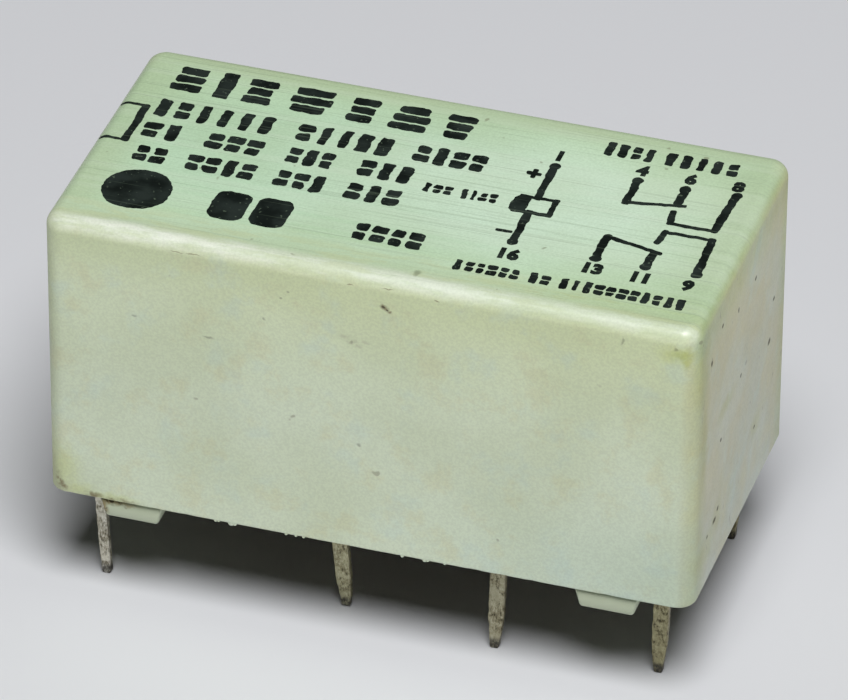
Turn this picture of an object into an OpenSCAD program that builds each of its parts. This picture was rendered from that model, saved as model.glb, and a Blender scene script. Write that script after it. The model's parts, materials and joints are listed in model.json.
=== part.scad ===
// Sealed dual-in-line signal relay with two changeover contacts, millimetres.
// Origin: centre of the footprint, at the tips of the pins. +X runs from the coil end to the
// contact end, +Y from the row 1-8 to the row 16-9, +Z up from the board.

/* [Cover] */
// Room between the middle of the end pins and the inside of the end walls
end_room = 0.71; // [0.65:0.01:1.6]
// Room between the middle of the pin rows and the inside of the side walls
side_room = 0.74; // [0.65:0.01:1.6]
// Room between the actuator card and the roof
roof_room = 0.34; // [0.2:0.01:1.2]
// Thickness of the cover's side walls
wall_t = 0.5; // [0.4:0.05:0.6]
// Thickness of the cover's roof
roof_t = 0.5; // [0.4:0.05:0.6]
// Radius of the four upright edges
corner_r = 0.6; // [0.6:0.05:1.2]
// Radius of the edges round the top
edge_r = 0.45; // [0.2:0.05:0.55]
// Radius of the upright edges inside the cover
inside_r = 0.35; // [0.3:0.05:0.8]
// Radius where the inside walls meet the roof
root_r = 0.2; // [0.1:0.05:0.25]

/* [Base] */
// Thickness of the moulded base
base_t = 1.2; // [1:0.05:1.4]
// Depth of the sealing resin below the base
resin_t = 0.3; // [0.2:0.05:0.5]
// Distance of the resin's surface above the rim
resin_dip = 0.06; // [0.02:0.01:0.12]
// Height of the stand-off feet below the rim
foot_h = 0.65; // [0.4:0.05:0.8]
// Width of a foot where it leaves the base
foot_w = 2.0; // [1.2:0.1:2.4]
// How much a foot narrows at each end
foot_taper = 0.17; // [0.05:0.01:0.3]
// Depth of a foot from its outer face inwards
foot_d = 1.5; // [1:0.1:2]
// Set-back of a foot's outer face from the cover's face
foot_set = 0.08; // [0.02:0.01:0.3]
// Gap between a foot and the end pin
foot_gap = 0.18; // [0.1:0.01:0.4]
// Thickness of the wall between the two contact chambers
barrier_t = 0.5; // [0.4:0.05:0.8]
// Height of the wall between the two contact chambers
barrier_h = 3.4; // [2:0.1:4]
// Radius of the coves between the wall and the base
cove_r = 0.4; // [0.2:0.05:0.6]

/* [Pins] */
// Pitch of the pin grid
pitch = 2.54; // [2.5:0.01:2.58]
// Reach of the pins below the feet
pin_len = 2.95; // [2.6:0.05:4]
// Width of a contact pin
blade_w = 0.5; // [0.42:0.01:0.6]
// Thickness of the terminal strip
blade_t = 0.25; // [0.2:0.01:0.35]
// Width of a contact pin at its tip
tip_w = 0.28; // [0.2:0.01:0.38]
// Length of the taper to the tip
taper_len = 1.2; // [0.8:0.1:2.4]
// Width of a coil pin
coil_pin_w = 0.34; // [0.3:0.01:0.5]
// Height of a coil pin's wrapping post above its block
post_h = 1.0; // [0.8:0.05:1.3]
// Lean of coil pin 1 towards the contact end, in degrees
pin_1_angle = 3.4; // [-4:0.1:8]
// Lean of pin 4 towards the contact end, in degrees
pin_4_angle = 1; // [-4:0.5:8]
// Lean of pin 4 inwards, in degrees
pin_4_tuck_angle = 10; // [0:0.5:12]
// Lean of pin 6 towards the coil end, in degrees
pin_6_angle = 2; // [-4:0.5:4]
// Lean of pin 8 towards the coil end, in degrees
pin_8_angle = 3; // [-4:0.5:4]
// Lean of pin 8 inwards, in degrees
pin_8_tuck_angle = 5.5; // [0:0.5:10]

/* [Coil] */
// Diameter of the winding
winding_d = 4.4; // [4:0.1:4.5]
// Number of turns drawn on the winding
turns = 26; // [10:1:40]
// Depth of the groove between two turns
groove = 0.05; // [0.02:0.01:0.08]
// Thickness of the bobbin's flanges
flange_t = 0.5; // [0.4:0.05:0.6]
// Reach of a flange past the winding
flange_lip = 0.4; // [0.3:0.05:0.5]
// Wall of the bobbin's tube
tube_t = 0.3; // [0.25:0.01:0.35]
// Width of the soft iron core
core_w = 2.2; // [1.8:0.1:2.4]
// Thickness of the soft iron core
core_t = 0.8; // [0.6:0.05:0.8]
// Diameter of the coil wire's ends
lead_d = 0.1; // [0.06:0.01:0.14]

/* [Magnet and armature] */
// Height of the bar magnet
magnet_t = 0.85; // [0.7:0.05:0.95]
// Width of the bar magnet
magnet_w = 2.6; // [2.2:0.1:3]
// Height of the poles above the magnet
pole_rise = 0.1; // [0.05:0.01:0.15]
// Thickness of the armature
armature_t = 0.8; // [0.6:0.05:0.9]
// Width of the armature
armature_w = 3.0; // [2.6:0.1:3.2]
// Height of the cradle's rails beside the magnet
cradle_h = 0.55; // [0.4:0.05:0.6]
// Thickness of the cradle's floor under the magnet
cradle_floor = 0.25; // [0.15:0.01:0.3]
// Thickness of the bearing ears
ear_t = 0.55; // [0.4:0.05:0.7]
// Diameter of the card's trunnions
trunnion_d = 0.6; // [0.4:0.05:0.7]
// Width of the card's side rails
rail_w = 0.65; // [0.5:0.05:0.7]
// Thickness of the card's bridges over the armature
bridge_t = 0.3; // [0.2:0.05:0.4]
// Length of a finger along the relay
finger_l = 0.6; // [0.4:0.05:0.8]
// Width of a finger across the relay
finger_w = 0.5; // [0.35:0.05:0.55]

/* [Contacts] */
// Opening between the contacts that stand apart
contact_gap = 0.4; // [0.3:0.01:0.45]
// Thickness of the leaf springs
leaf_t = 0.12; // [0.08:0.01:0.16]
// Clearance between the bobbin's flanges and the leaf springs
coil_gap = 0.26; // [0.15:0.01:0.35]
// Width of the slit that splits a leaf's end
slit_w = 0.25; // [0.15:0.01:0.3]
// Length of the slit
slit_len = 1.8; // [1:0.1:2]
// Height of the domes on the leaf
dome_h = 0.18; // [0.12:0.01:0.22]
// Height of the fixed contact bars
bar_h = 0.22; // [0.16:0.01:0.26]
// Height of the make terminal's tongue above the base
make_h = 1.45; // [1.2:0.05:1.6]
// Thickness of the tongues, as the strip they are bent from
tongue_t = 0.3; // [0.25:0.01:0.35]
// Width of the risers above the base
riser_w = 0.9; // [0.7:0.05:1]

/* [Print] */
// Thickness of the ink
ink_t = 0.015; // [0.01:0.005:0.03]
// Width of the ink's heavy strokes
stroke_w = 0.25; // [0.12:0.01:0.3]
// Width of the ink's fine strokes
fine_w = 0.14; // [0.08:0.01:0.15]

/* [Fits] */
// Clearance between parts that slide together on assembly
slide_gap = 0.04; // [0.02:0.01:0.06]
// Clearance between faces that rest on each other
seat_gap = 0.01; // [0.005:0.005:0.02]
// Running clearance round the trunnions
run_gap = 0.03; // [0.02:0.01:0.05]
// Clearance where a contact, a finger or a pole touches
touch_gap = 0.03; // [0.02:0.01:0.04]
// Clearance beside the moving parts
side_gap = 0.08; // [0.06:0.01:0.12]

/* [Hidden] */
$fn = 32;

// Pin grid: columns along X, rows at plus and minus row_y
coil_x = -3.5 * pitch;
com_x = -0.5 * pitch;
nc_x = 1.5 * pitch;
no_x = 3.5 * pitch;
row_y = 1.5 * pitch;

// Levels, from the pin tips up
seat_z = pin_len;
rim_z = seat_z + foot_h;
resin_z = rim_z + resin_dip;
base_z0 = resin_z + resin_t;
base_z1 = base_z0 + base_t;

// Footprint: the cover goes round the pin grid, the base fits inside it
inner_l = 2 * (no_x + end_room);
inner_w = 2 * (row_y + side_room);
cover_l = inner_l + 2 * wall_t;
cover_w = inner_w + 2 * wall_t;
base_l = inner_l - 2 * slide_gap;
base_w = inner_w - 2 * slide_gap;
foot_x = no_x - blade_w / 2 - foot_gap - foot_w / 2;

// Coil: the flanges stand on the base between the coil pins and the common terminals
flange_h = winding_d + 2 * flange_lip;
axis_z = base_z1 + seat_gap + flange_h / 2;
flange_z1 = axis_z + flange_h / 2;
flange_side = 0.1;
flange_y = winding_d / 2 + flange_side;
post_gap = 0.12;
flange_x0 = coil_x + coil_pin_w / 2 + post_gap;
com_clear = 1.47;
flange_x1 = com_x + com_clear;
wind_x0 = flange_x0 + flange_t;
wind_x1 = flange_x1 - flange_t;
wind_l = wind_x1 - wind_x0 - 2 * seat_gap;
bore_w = core_w + 2 * slide_gap;
bore_h = core_t + 2 * slide_gap;
tube_w = bore_w + 2 * tube_t;
tube_h = bore_h + 2 * tube_t;
block_h = 1.5;
block_wall = 0.35;
block_lip = 0.28;
block_x0 = coil_x - coil_pin_w / 2 - block_lip;
block_y = row_y + blade_t / 2 + block_wall;
block_d = 2 * block_wall + blade_t + 0.15;

// Core: the leg and the pole plate stand just outside the flanges
leg_x0 = flange_x0 - slide_gap - core_t;
plate_x1 = flange_x1 + slide_gap + core_t;
bend_r = 0.4;
plate_drop = 0.7;

// Magnet, poles and pivot
magnet_z0 = flange_z1 + seat_gap;
magnet_z1 = magnet_z0 + magnet_t;
pole_z = magnet_z1 + pole_rise;
pivot_x = (leg_x0 + plate_x1) / 2;
pole_arm = (plate_x1 - leg_x0) / 2;

// Contacts: the leaves lie beside the coil, inside the pin rows
contact_x = (nc_x + no_x) / 2;
riser_gap = 0.25;
finger_x = nc_x + riser_w / 2 + finger_l / 2 + riser_gap;
leaf_set = 0.15;
leaf_y1 = row_y - blade_t / 2 - leaf_set;
leaf_y0 = flange_y + coil_gap;
leaf_w = leaf_y1 - leaf_y0;
leaf_y = (leaf_y0 + leaf_y1) / 2;
make_z = base_z1 + make_h;
leaf_z0 = make_z + bar_h + contact_gap + touch_gap + dome_h;
leaf_z1 = leaf_z0 + leaf_t;
leaf_z = (leaf_z0 + leaf_z1) / 2;
break_z = leaf_z1 + dome_h + touch_gap + bar_h;
tab_lip = 0.15;
tab_half = riser_w / 2 + tab_lip;
tab_top = leaf_z0 - seat_gap;
hinge_x = com_x + tab_half;
leaf_over = 0.5;
leaf_x1 = contact_x + leaf_over;
tongue_y0 = leaf_y0;
tongue_y1 = row_y + blade_t / 2;

// Stroke: the leaf turns until its lower domes meet the make bar, and the card's fingers
// follow it, so the armature turns by the angle with the same drop at the finger
leaf_turn = asin(contact_gap / (contact_x - hinge_x));
finger_drop = (finger_x - hinge_x) * sin(leaf_turn);
rock = asin(finger_drop / (finger_x - pivot_x));
face_z = pole_z + touch_gap + pole_arm * sin(rock / 2);
ridge_r = face_z - magnet_z1 - touch_gap;

// Card: rails beside the armature, trunnions on the pivot, bridges over the armature
rail_y0 = armature_w / 2 + slide_gap;
rail_y1 = rail_y0 + rail_w;
rail_drop = 0.25;
rail_z0 = face_z - rail_drop;
card_z = face_z + armature_t + seat_gap;
card_z1 = card_z + bridge_t;
top_z = card_z1 + roof_room + roof_t;
cover_h = top_z - rim_z;

// Print: the diagram's columns, set out from the contact end of the flat top
flat_x = cover_l / 2 - edge_r;
column = 1.48;
no_col = flat_x - 0.65;
nc_col = no_col - column;
com_col = no_col - 2 * column;
coil_col = no_col - 3.7 * column;

// Widths along the card and the ears
saddle_half = 1.2;
finger_set = 0.4;
finger_y1 = leaf_y1 - finger_set;
finger_z0 = leaf_z1 + touch_gap;
ear_y0 = rail_y1 + side_gap;
ear_y1 = ear_y0 + ear_t;
ear_half = 0.8;
ear_rise = 0.55;

ivory = [0.82, 0.84, 0.70];
base_ivory = [0.80, 0.81, 0.68];
epoxy = [0.72, 0.66, 0.45];
tin = [0.66, 0.64, 0.58];
bronze = [0.72, 0.54, 0.34];
copper = [0.72, 0.38, 0.20];
iron = [0.55, 0.55, 0.56];
ferrite = [0.25, 0.25, 0.27];
bobbin_white = [0.86, 0.85, 0.80];
card_grey = [0.36, 0.38, 0.42];
silver_c = [0.86, 0.86, 0.84];
ink = [0.06, 0.06, 0.07];

// Profile with a flat foot and two rounded top corners
module crowned(w, h, r) {
    translate([-w / 2, 0]) square([w, h - r]);
    translate([r - w / 2, 0]) square([w - 2 * r, h]);
    for (s = [-1, 1])
        translate([s * (w / 2 - r), h - r]) circle(r = r);
}

// Upright post with a rounded top edge
module corner_post(r, h, e) {
    rotate_extrude($fn = 64) {
        square([r, h - e]);
        square([r - e, h]);
        translate([r - e, h - e])
            intersection() {
                circle(r = e);
                square(e);
            }
    }
}

// Block with rounded upright edges and rounded top edges
module soft_block(l, w, h, r, e) {
    translate([r - l / 2, 0, 0])
        rotate([90, 0, 90]) linear_extrude(l - 2 * r) crowned(w, h, e);
    translate([0, w / 2 - r, 0])
        rotate([90, 0, 0]) linear_extrude(w - 2 * r) crowned(l, h, e);
    for (sx = [-1, 1], sy = [-1, 1])
        translate([sx * (l / 2 - r), sy * (w / 2 - r), 0]) corner_post(r, h, e);
}

// Plate with rounded corners
module round_plate(l, w, h, r) {
    linear_extrude(h) {
        square([l - 2 * r, w], center = true);
        square([l, w - 2 * r], center = true);
        for (sx = [-1, 1], sy = [-1, 1])
            translate([sx * (l / 2 - r), sy * (w / 2 - r)]) circle(r = r);
    }
}

// Sum of the first n entries of a list, or of all of them
function total(list, n = undef) =
    let (last = is_undef(n) ? len(list) : n) last == 0 ? 0 : list[last - 1] + total(list, last - 1);

// Box from its low corner to its high corner
module span(a, b) {
    translate(a) cube([b[0] - a[0], b[1] - a[1], b[2] - a[2]]);
}

module cover() {
    color(ivory)
        translate([0, 0, rim_z])
            difference() {
                soft_block(cover_l, cover_w, cover_h, corner_r, edge_r);
                translate([0, 0, -wall_t])
                    soft_block(inner_l, inner_w, cover_h - roof_t + wall_t, inside_r, root_r);
            }
}

// One foot: a trapezoid under the rim, and its root that stands in the resin
module foot() {
    w0 = foot_w / 2;
    w1 = foot_w / 2 - foot_taper;
    y1 = cover_w / 2 - foot_set;
    translate([0, y1, seat_z])
        rotate([90, 0, 0])
            linear_extrude(foot_d)
                polygon([[-w1, 0], [w1, 0], [w0, foot_h - seat_gap], [-w0, foot_h - seat_gap]]);
    span([-w0, y1 - foot_d, rim_z - 2 * seat_gap], [w0, base_w / 2, base_z0 + seat_gap]);
}

module feet() {
    for (sx = [-1, 1], sy = [0, 180])
        rotate([0, 0, sy]) translate([sx * foot_x, 0, 0]) foot();
}

// Slots for the eight pins, as wide as the pin that passes
module pin_slots(z0, z1, gap) {
    for (x = [coil_x, com_x, nc_x, no_x], s = [-1, 1]) {
        w = (x == coil_x ? coil_pin_w : blade_w) / 2 + gap;
        t = blade_t / 2 + gap;
        span([x - w, s * row_y - t, z0], [x + w, s * row_y + t, z1]);
    }
}

// Wall between the contact chambers, with coves where it meets the base
module barrier() {
    x0 = plate_x1 + 0.35;
    x1 = base_l / 2 - 0.3;
    translate([x0, 0, base_z1])
        rotate([90, 0, 90])
            linear_extrude(x1 - x0) {
                translate([-barrier_t / 2, -seat_gap]) square([barrier_t, barrier_h]);
                for (s = [0, 1])
                    mirror([s, 0])
                        difference() {
                            translate([0, -seat_gap]) square([barrier_t / 2 + cove_r, cove_r + seat_gap]);
                            translate([barrier_t / 2 + cove_r, cove_r]) circle(r = cove_r);
                        }
            }
}

module base_plate() {
    color(base_ivory)
        difference() {
            union() {
                translate([0, 0, base_z0]) round_plate(base_l, base_w, base_t, inside_r);
                feet();
                barrier();
            }
            pin_slots(base_z0 - 1, base_z1 + 1, slide_gap / 2);
        }
}

module sealing_resin() {
    w = foot_w / 2 + seat_gap;
    color(epoxy)
        difference() {
            translate([0, 0, resin_z])
                round_plate(base_l, base_w, resin_t - seat_gap, inside_r);
            pin_slots(resin_z - 1, base_z0 + 1, seat_gap);
            for (sx = [-1, 1], sy = [-1, 1])
                translate([sx * foot_x, sy * (cover_w / 2 - foot_set - foot_d / 2), resin_z + resin_t / 2])
                    cube([2 * w, foot_d + 2 * seat_gap, 2 * resin_t], center = true);
        }
}

// Pin below the root: straight, then tapered to the tip, with the root at the origin
module pin_blade(w, tip, len) {
    rotate([90, 0, 0])
        translate([0, 0, -blade_t / 2])
            linear_extrude(blade_t)
                polygon([[-w / 2, 0], [w / 2, 0], [w / 2, taper_len - len],
                    [tip / 2, -len], [-tip / 2, -len], [-w / 2, taper_len - len]]);
}

// Pin with its straight root through the resin and the base, up to level z1
module pin(x, y, w, tip, z1, lean, tuck) {
    translate([x, y, rim_z]) rotate([tuck, -lean, 0]) pin_blade(w, tip, rim_z);
    span([x - w / 2, y - blade_t / 2, rim_z - 2 * seat_gap], [x + w / 2, y + blade_t / 2, z1]);
}

module coil_pin(side, lean) {
    color(tin)
        pin(coil_x, side * row_y, coil_pin_w, coil_pin_w - 0.05,
            base_z1 + seat_gap + block_h + post_h, lean, 0);
}

// Riser that stands on the base with its shoulders, up to level z1
module riser(x, side, z1) {
    span([x - riser_w / 2, side * row_y - blade_t / 2, base_z1 + seat_gap],
        [x + riser_w / 2, side * row_y + blade_t / 2, z1]);
}

// Mirrors to the row of the given side, for shapes drawn on the +Y side
module on_side(side) {
    mirror([0, side < 0 ? 1 : 0, 0]) children();
}

module com_terminal(side, lean, tuck) {
    color(tin) {
        pin(com_x, side * row_y, blade_w, tip_w, base_z1 + 0.1, lean, tuck);
        riser(com_x, side, tab_top);
        on_side(side)
            span([com_x - tab_half, leaf_y0, tab_top - tongue_t], [com_x + tab_half, tongue_y1, tab_top]);
    }
}

// Break tongue: leaves room for the finger, then widens over the domes
module break_tongue() {
    neck_y = finger_y1 + side_gap + 0.05;
    head_x = finger_x + finger_l / 2 + riser_gap;
    end_x = contact_x + leaf_over + 0.2;
    linear_extrude(tongue_t)
        polygon([[nc_x - riser_w / 2, neck_y], [head_x - 0.1, neck_y], [head_x + 0.1, tongue_y0],
            [end_x - 0.2, tongue_y0], [end_x, tongue_y0 + 0.2],
            [end_x, tongue_y1], [nc_x - riser_w / 2, tongue_y1]]);
}

module nc_terminal(side, lean, tuck) {
    color(tin) {
        pin(nc_x, side * row_y, blade_w, tip_w, base_z1 + 0.1, lean, tuck);
        riser(nc_x, side, break_z + tongue_t);
        on_side(side) translate([0, 0, break_z]) break_tongue();
    }
}

// Make tongue: runs from its riser at the end wall back under the domes
module make_tongue() {
    x0 = contact_x - leaf_over;
    x1 = no_x + riser_w / 2;
    linear_extrude(tongue_t)
        polygon([[x0 + 0.2, tongue_y0], [x1 - 0.5, tongue_y0], [x1, tongue_y0 + 0.5],
            [x1, tongue_y1], [x0, tongue_y1], [x0, tongue_y0 + 0.2]]);
}

module no_terminal(side, lean, tuck) {
    color(tin) {
        pin(no_x, side * row_y, blade_w, tip_w, base_z1 + 0.1, lean, tuck);
        riser(no_x, side, make_z);
        on_side(side) translate([0, 0, make_z - tongue_t]) make_tongue();
    }
}

module bobbin_flange(x0) {
    span([x0, -flange_y, base_z1 + seat_gap], [x0 + flange_t, flange_y, flange_z1]);
}

module bobbin() {
    color(bobbin_white)
        difference() {
            union() {
                bobbin_flange(flange_x0);
                bobbin_flange(wind_x1);
                span([flange_x0, -tube_w / 2, axis_z - tube_h / 2],
                    [flange_x1, tube_w / 2, axis_z + tube_h / 2]);
                span([flange_x0, -block_y, base_z1 + seat_gap],
                    [wind_x0, block_y, base_z1 + seat_gap + block_h]);
                for (s = [-1, 1])
                    on_side(s)
                        span([block_x0, block_y - block_d, base_z1 + seat_gap],
                            [wind_x0, block_y, base_z1 + seat_gap + block_h]);
            }
            span([flange_x0 - 1, -bore_w / 2, axis_z - bore_h / 2],
                [flange_x1 + 1, bore_w / 2, axis_z + bore_h / 2]);
            for (s = [-1, 1])
                translate([coil_x, s * row_y, axis_z])
                    cube([coil_pin_w + slide_gap, blade_t + slide_gap, flange_h + 1], center = true);
        }
}

// Winding: a body of revolution with a shallow groove between turns
module winding() {
    step = wind_l / turns;
    r1 = winding_d / 2;
    hole_w = tube_w + 2 * seat_gap;
    hole_h = tube_h + 2 * seat_gap;
    ridge = [for (i = [0 : turns - 1], p = [[r1 - groove, i * step], [r1, (i + 0.5) * step]]) p];
    color(copper)
        translate([wind_x0 + seat_gap, 0, axis_z])
            difference() {
                rotate([0, 90, 0])
                    rotate_extrude($fn = 48)
                        polygon(concat([[0, 0]], ridge, [[r1 - groove, wind_l], [0, wind_l]]));
                translate([wind_l / 2, 0, 0]) cube([wind_l + 2, hole_w, hole_h], center = true);
            }
}

// Coil wire's end: three wraps round the post, and a straight run to the winding
module coil_lead(side) {
    wraps = 3;
    wrap_step = lead_d * 0.98;
    wrap_r = norm([coil_pin_w, blade_t]) / 2 + lead_d / 2 + seat_gap;
    wrap_z = base_z1 + seat_gap + block_h + post_h / 2;
    from = [coil_x + wrap_r, row_y - lead_d, wrap_z];
    to = [wind_x0 + 3 * lead_d, winding_d / 2 + lead_d / 2 + seat_gap, axis_z];
    run = to - from;
    color(copper) {
        for (i = [0 : wraps - 1])
            translate([coil_x, side * row_y, wrap_z + i * wrap_step])
                rotate_extrude($fn = 32) translate([wrap_r, 0]) circle(r = lead_d / 2, $fn = 16);
        on_side(side)
            translate(from)
                rotate([0, acos(run[2] / norm(run)), atan2(run[1], run[0])])
                    cylinder(r = lead_d / 2, h = norm(run), $fn = 16);
    }
}

// Core: an upright leg and a strip through the bobbin, one bent piece
module core() {
    z0 = axis_z - core_t / 2;
    color(iron)
        translate([0, core_w / 2, 0])
            rotate([90, 0, 0])
                linear_extrude(core_w) {
                    translate([leg_x0 + bend_r, z0]) square([plate_x1 - leg_x0 - bend_r, core_t]);
                    translate([leg_x0, z0 + bend_r]) square([core_t, pole_z - z0 - bend_r]);
                    translate([leg_x0 + bend_r, z0 + bend_r]) circle(r = bend_r);
                }
}

module pole_plate() {
    z0 = axis_z - core_t / 2 - plate_drop;
    y1 = armature_w / 2;
    color(iron)
        difference() {
            span([plate_x1 - core_t, -y1, z0], [plate_x1, y1, pole_z]);
            span([plate_x1 - core_t - 1, -core_w / 2 - seat_gap, axis_z - core_t / 2 - seat_gap],
                [plate_x1 + 1, core_w / 2 + seat_gap, axis_z + core_t / 2 + seat_gap]);
        }
}

module magnet() {
    color(ferrite)
        span([leg_x0 + core_t + seat_gap, -magnet_w / 2, magnet_z0],
            [plate_x1 - core_t - seat_gap, magnet_w / 2, magnet_z1]);
}

// Bearing ear with an open notch for the trunnion
module ear() {
    notch_r = trunnion_d / 2 + run_gap;
    difference() {
        span([pivot_x - ear_half, ear_y0, flange_z1 + seat_gap],
            [pivot_x + ear_half, ear_y1, face_z + ear_rise]);
        translate([pivot_x, ear_y0 - 1, face_z]) rotate([-90, 0, 0]) cylinder(r = notch_r, h = ear_t + 2);
        span([pivot_x - notch_r, ear_y0 - 1, face_z], [pivot_x + notch_r, ear_y1 + 1, face_z + 2]);
    }
}

module armature_cradle() {
    y0 = magnet_w / 2 + slide_gap;
    rail_top = flange_z1 + seat_gap + cradle_h;
    color(bobbin_white) {
        span([wind_x0 + slide_gap, -flange_y, flange_z1 - cradle_floor],
            [wind_x1 - slide_gap, flange_y, flange_z1]);
        for (s = [-1, 1])
            on_side(s) {
                span([wind_x0 + slide_gap, y0, flange_z1 - seat_gap],
                    [wind_x1 - slide_gap, flange_y, flange_z1 + 2 * seat_gap]);
                span([flange_x0, y0, flange_z1 + seat_gap], [flange_x1, flange_y, rail_top]);
                span([pivot_x - ear_half, flange_y - 0.1, flange_z1 + seat_gap],
                    [pivot_x + ear_half, ear_y1, rail_top]);
                ear();
            }
    }
}

// Turns what is drawn level to the armature's place at rest
module at_rest() {
    translate([pivot_x, 0, face_z]) rotate([0, -rock / 2, 0]) translate([-pivot_x, 0, -face_z]) children();
}

module armature() {
    color(iron)
        at_rest() {
            span([leg_x0, -armature_w / 2, face_z], [plate_x1, armature_w / 2, face_z + armature_t]);
            translate([pivot_x, armature_w / 2, face_z])
                rotate([90, 0, 0]) cylinder(r = ridge_r, h = armature_w);
        }
}

// Card: two rails joined over the armature and across the contact end, with the trunnions
// on the pivot and a finger over each leaf
module actuator_card() {
    x1 = finger_x + finger_l / 2;
    bridge_y = rail_y0 + 0.1;
    color(card_grey)
        at_rest() {
            span([pivot_x - saddle_half, -bridge_y, card_z], [pivot_x + saddle_half, bridge_y, card_z1]);
            span([x1 - finger_l, -finger_y1, rail_z0], [x1, finger_y1, card_z1]);
            for (s = [-1, 1])
                on_side(s) {
                    span([pivot_x - saddle_half, rail_y0, rail_z0], [x1, rail_y1, card_z1]);
                    translate([pivot_x, rail_y1 - 0.1, face_z])
                        rotate([-90, 0, 0]) cylinder(r = trunnion_d / 2, h = ear_y1 - rail_y1 + 0.1);
                }
        }
    color(card_grey)
        for (s = [-1, 1])
            on_side(s) card_finger();
}

// Finger: a straight leg with a round nose that bears on the leaf
module card_finger() {
    nose_r = finger_l / 2;
    translate([finger_x, finger_y1, finger_z0 + nose_r])
        rotate([90, 0, 0])
            linear_extrude(finger_w) {
                circle(r = nose_r);
                translate([-nose_r, 0]) square([finger_l, rail_z0 + 0.3 - finger_z0 - nose_r]);
            }
}

// Leaf: welded on the common tab, split into two tines at the contact end
module leaf(side) {
    x0 = com_x - tab_half;
    tine_r = (leaf_w - slit_w) / 4;
    color(bronze)
        on_side(side)
            translate([0, leaf_y, leaf_z0])
                linear_extrude(leaf_t) {
                    translate([x0, -leaf_w / 2]) square([leaf_x1 - slit_len - x0, leaf_w]);
                    for (s = [-1, 1])
                        translate([0, s * (slit_w / 2 + tine_r)]) {
                            translate([leaf_x1 - slit_len, -tine_r]) square([slit_len - tine_r, 2 * tine_r]);
                            translate([leaf_x1 - tine_r, 0]) circle(r = tine_r);
                        }
                }
}

// Domes on both faces of each tine
module domes(side) {
    tine_r = (leaf_w - slit_w) / 4;
    color(silver_c)
        on_side(side)
            for (s = [-1, 1])
                translate([contact_x, leaf_y + s * (slit_w / 2 + tine_r), leaf_z])
                    for (m = [0, 1])
                        mirror([0, 0, m])
                            translate([0, 0, leaf_t / 2])
                                rotate_extrude($fn = 24) dome_profile(tine_r - 0.01);
}

module dome_profile(r) {
    polygon([[0, 0], [r, 0], [r, dome_h * 0.4], [r * 0.7, dome_h * 0.85], [r * 0.35, dome_h], [0, dome_h]]);
}

// Half-round bar across the leaf, flat side at level z, round side up or down
module contact_bar(side, z, up) {
    color(silver_c)
        on_side(side)
            translate([contact_x, leaf_y1, z])
                mirror([0, 0, up ? 0 : 1])
                    rotate([90, 0, 0])
                        linear_extrude(leaf_w)
                            intersection() {
                                circle(r = bar_h);
                                translate([-bar_h, 0]) square([2 * bar_h, bar_h]);
                            }
}

// Straight ink stroke between two points of the top
module stroke(a, b, w) {
    d = b - a;
    translate([a[0], a[1], top_z])
        rotate([0, 0, atan2(d[1], d[0])])
            translate([-w / 2, -w / 2, 0]) cube([norm(d) + w, w, ink_t]);
}

// Row of ink blocks between two places along the top, their widths in the given parts
module word_row(x, y, parts, h, gap = 0.2) {
    unit = (x[1] - x[0] - gap * (len(parts) - 1)) / total(parts);
    for (i = [0 : len(parts) - 1])
        translate([x[0] + unit * total(parts, i) + gap * i, y - h / 2, top_z])
            cube([unit * parts[i], h, ink_t]);
}

// Bracket at the end of pins 1 and 16, open towards the end
module printed_index() {
    x0 = -flat_x + 0.07;
    x1 = x0 + 0.43;
    arm_y = [-0.3, 1.65];
    color(ink) {
        stroke([x0, arm_y[1]], [x1, arm_y[1]], fine_w);
        stroke([x1, arm_y[1]], [x1, arm_y[0]], stroke_w);
        stroke([x1, arm_y[0]], [x0, arm_y[0]], fine_w);
    }
}

// Circuit as it stands at rest: the coil, and on each row a closed and an open contact
module printed_schematic() {
    mid_y = 0.13;
    end_y = 2.17;
    arm_y = 0.96;
    make_y = 0.25;
    box_x = [coil_col - 0.7, coil_col + 0.6];
    box_y = [-0.43, 0.35];
    color(ink) translate([0, mid_y, 0]) {
        stroke([coil_col, end_y], [coil_col, box_y[1]], stroke_w);
        stroke([coil_col, box_y[0]], [coil_col, -end_y], stroke_w);
        word_row([box_x[0], coil_col - 0.15], (box_y[0] + box_y[1]) / 2, [1], box_y[1] - box_y[0] + fine_w);
        stroke([coil_col - 0.2, box_y[1]], [box_x[1], box_y[1]], fine_w);
        stroke([coil_col - 0.2, box_y[0]], [box_x[1], box_y[0]], fine_w);
        stroke([box_x[1], box_y[1]], [box_x[1], box_y[0]], fine_w);
        for (s = [1, -1]) {
            stroke([com_col, s * end_y], [com_col, s * arm_y], stroke_w);
            stroke([com_col, s * arm_y], [nc_col + 0.2, s * (arm_y + 0.3)], fine_w);
            stroke([nc_col, s * end_y], [nc_col, s * (arm_y + 0.3)], stroke_w);
            stroke([no_col, s * end_y], [no_col, s * make_y], stroke_w);
            stroke([no_col, s * make_y], [nc_col, s * make_y], fine_w);
            stroke([nc_col, s * make_y], [nc_col, s * (arm_y - 0.25)], stroke_w);
        }
    }
}

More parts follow.
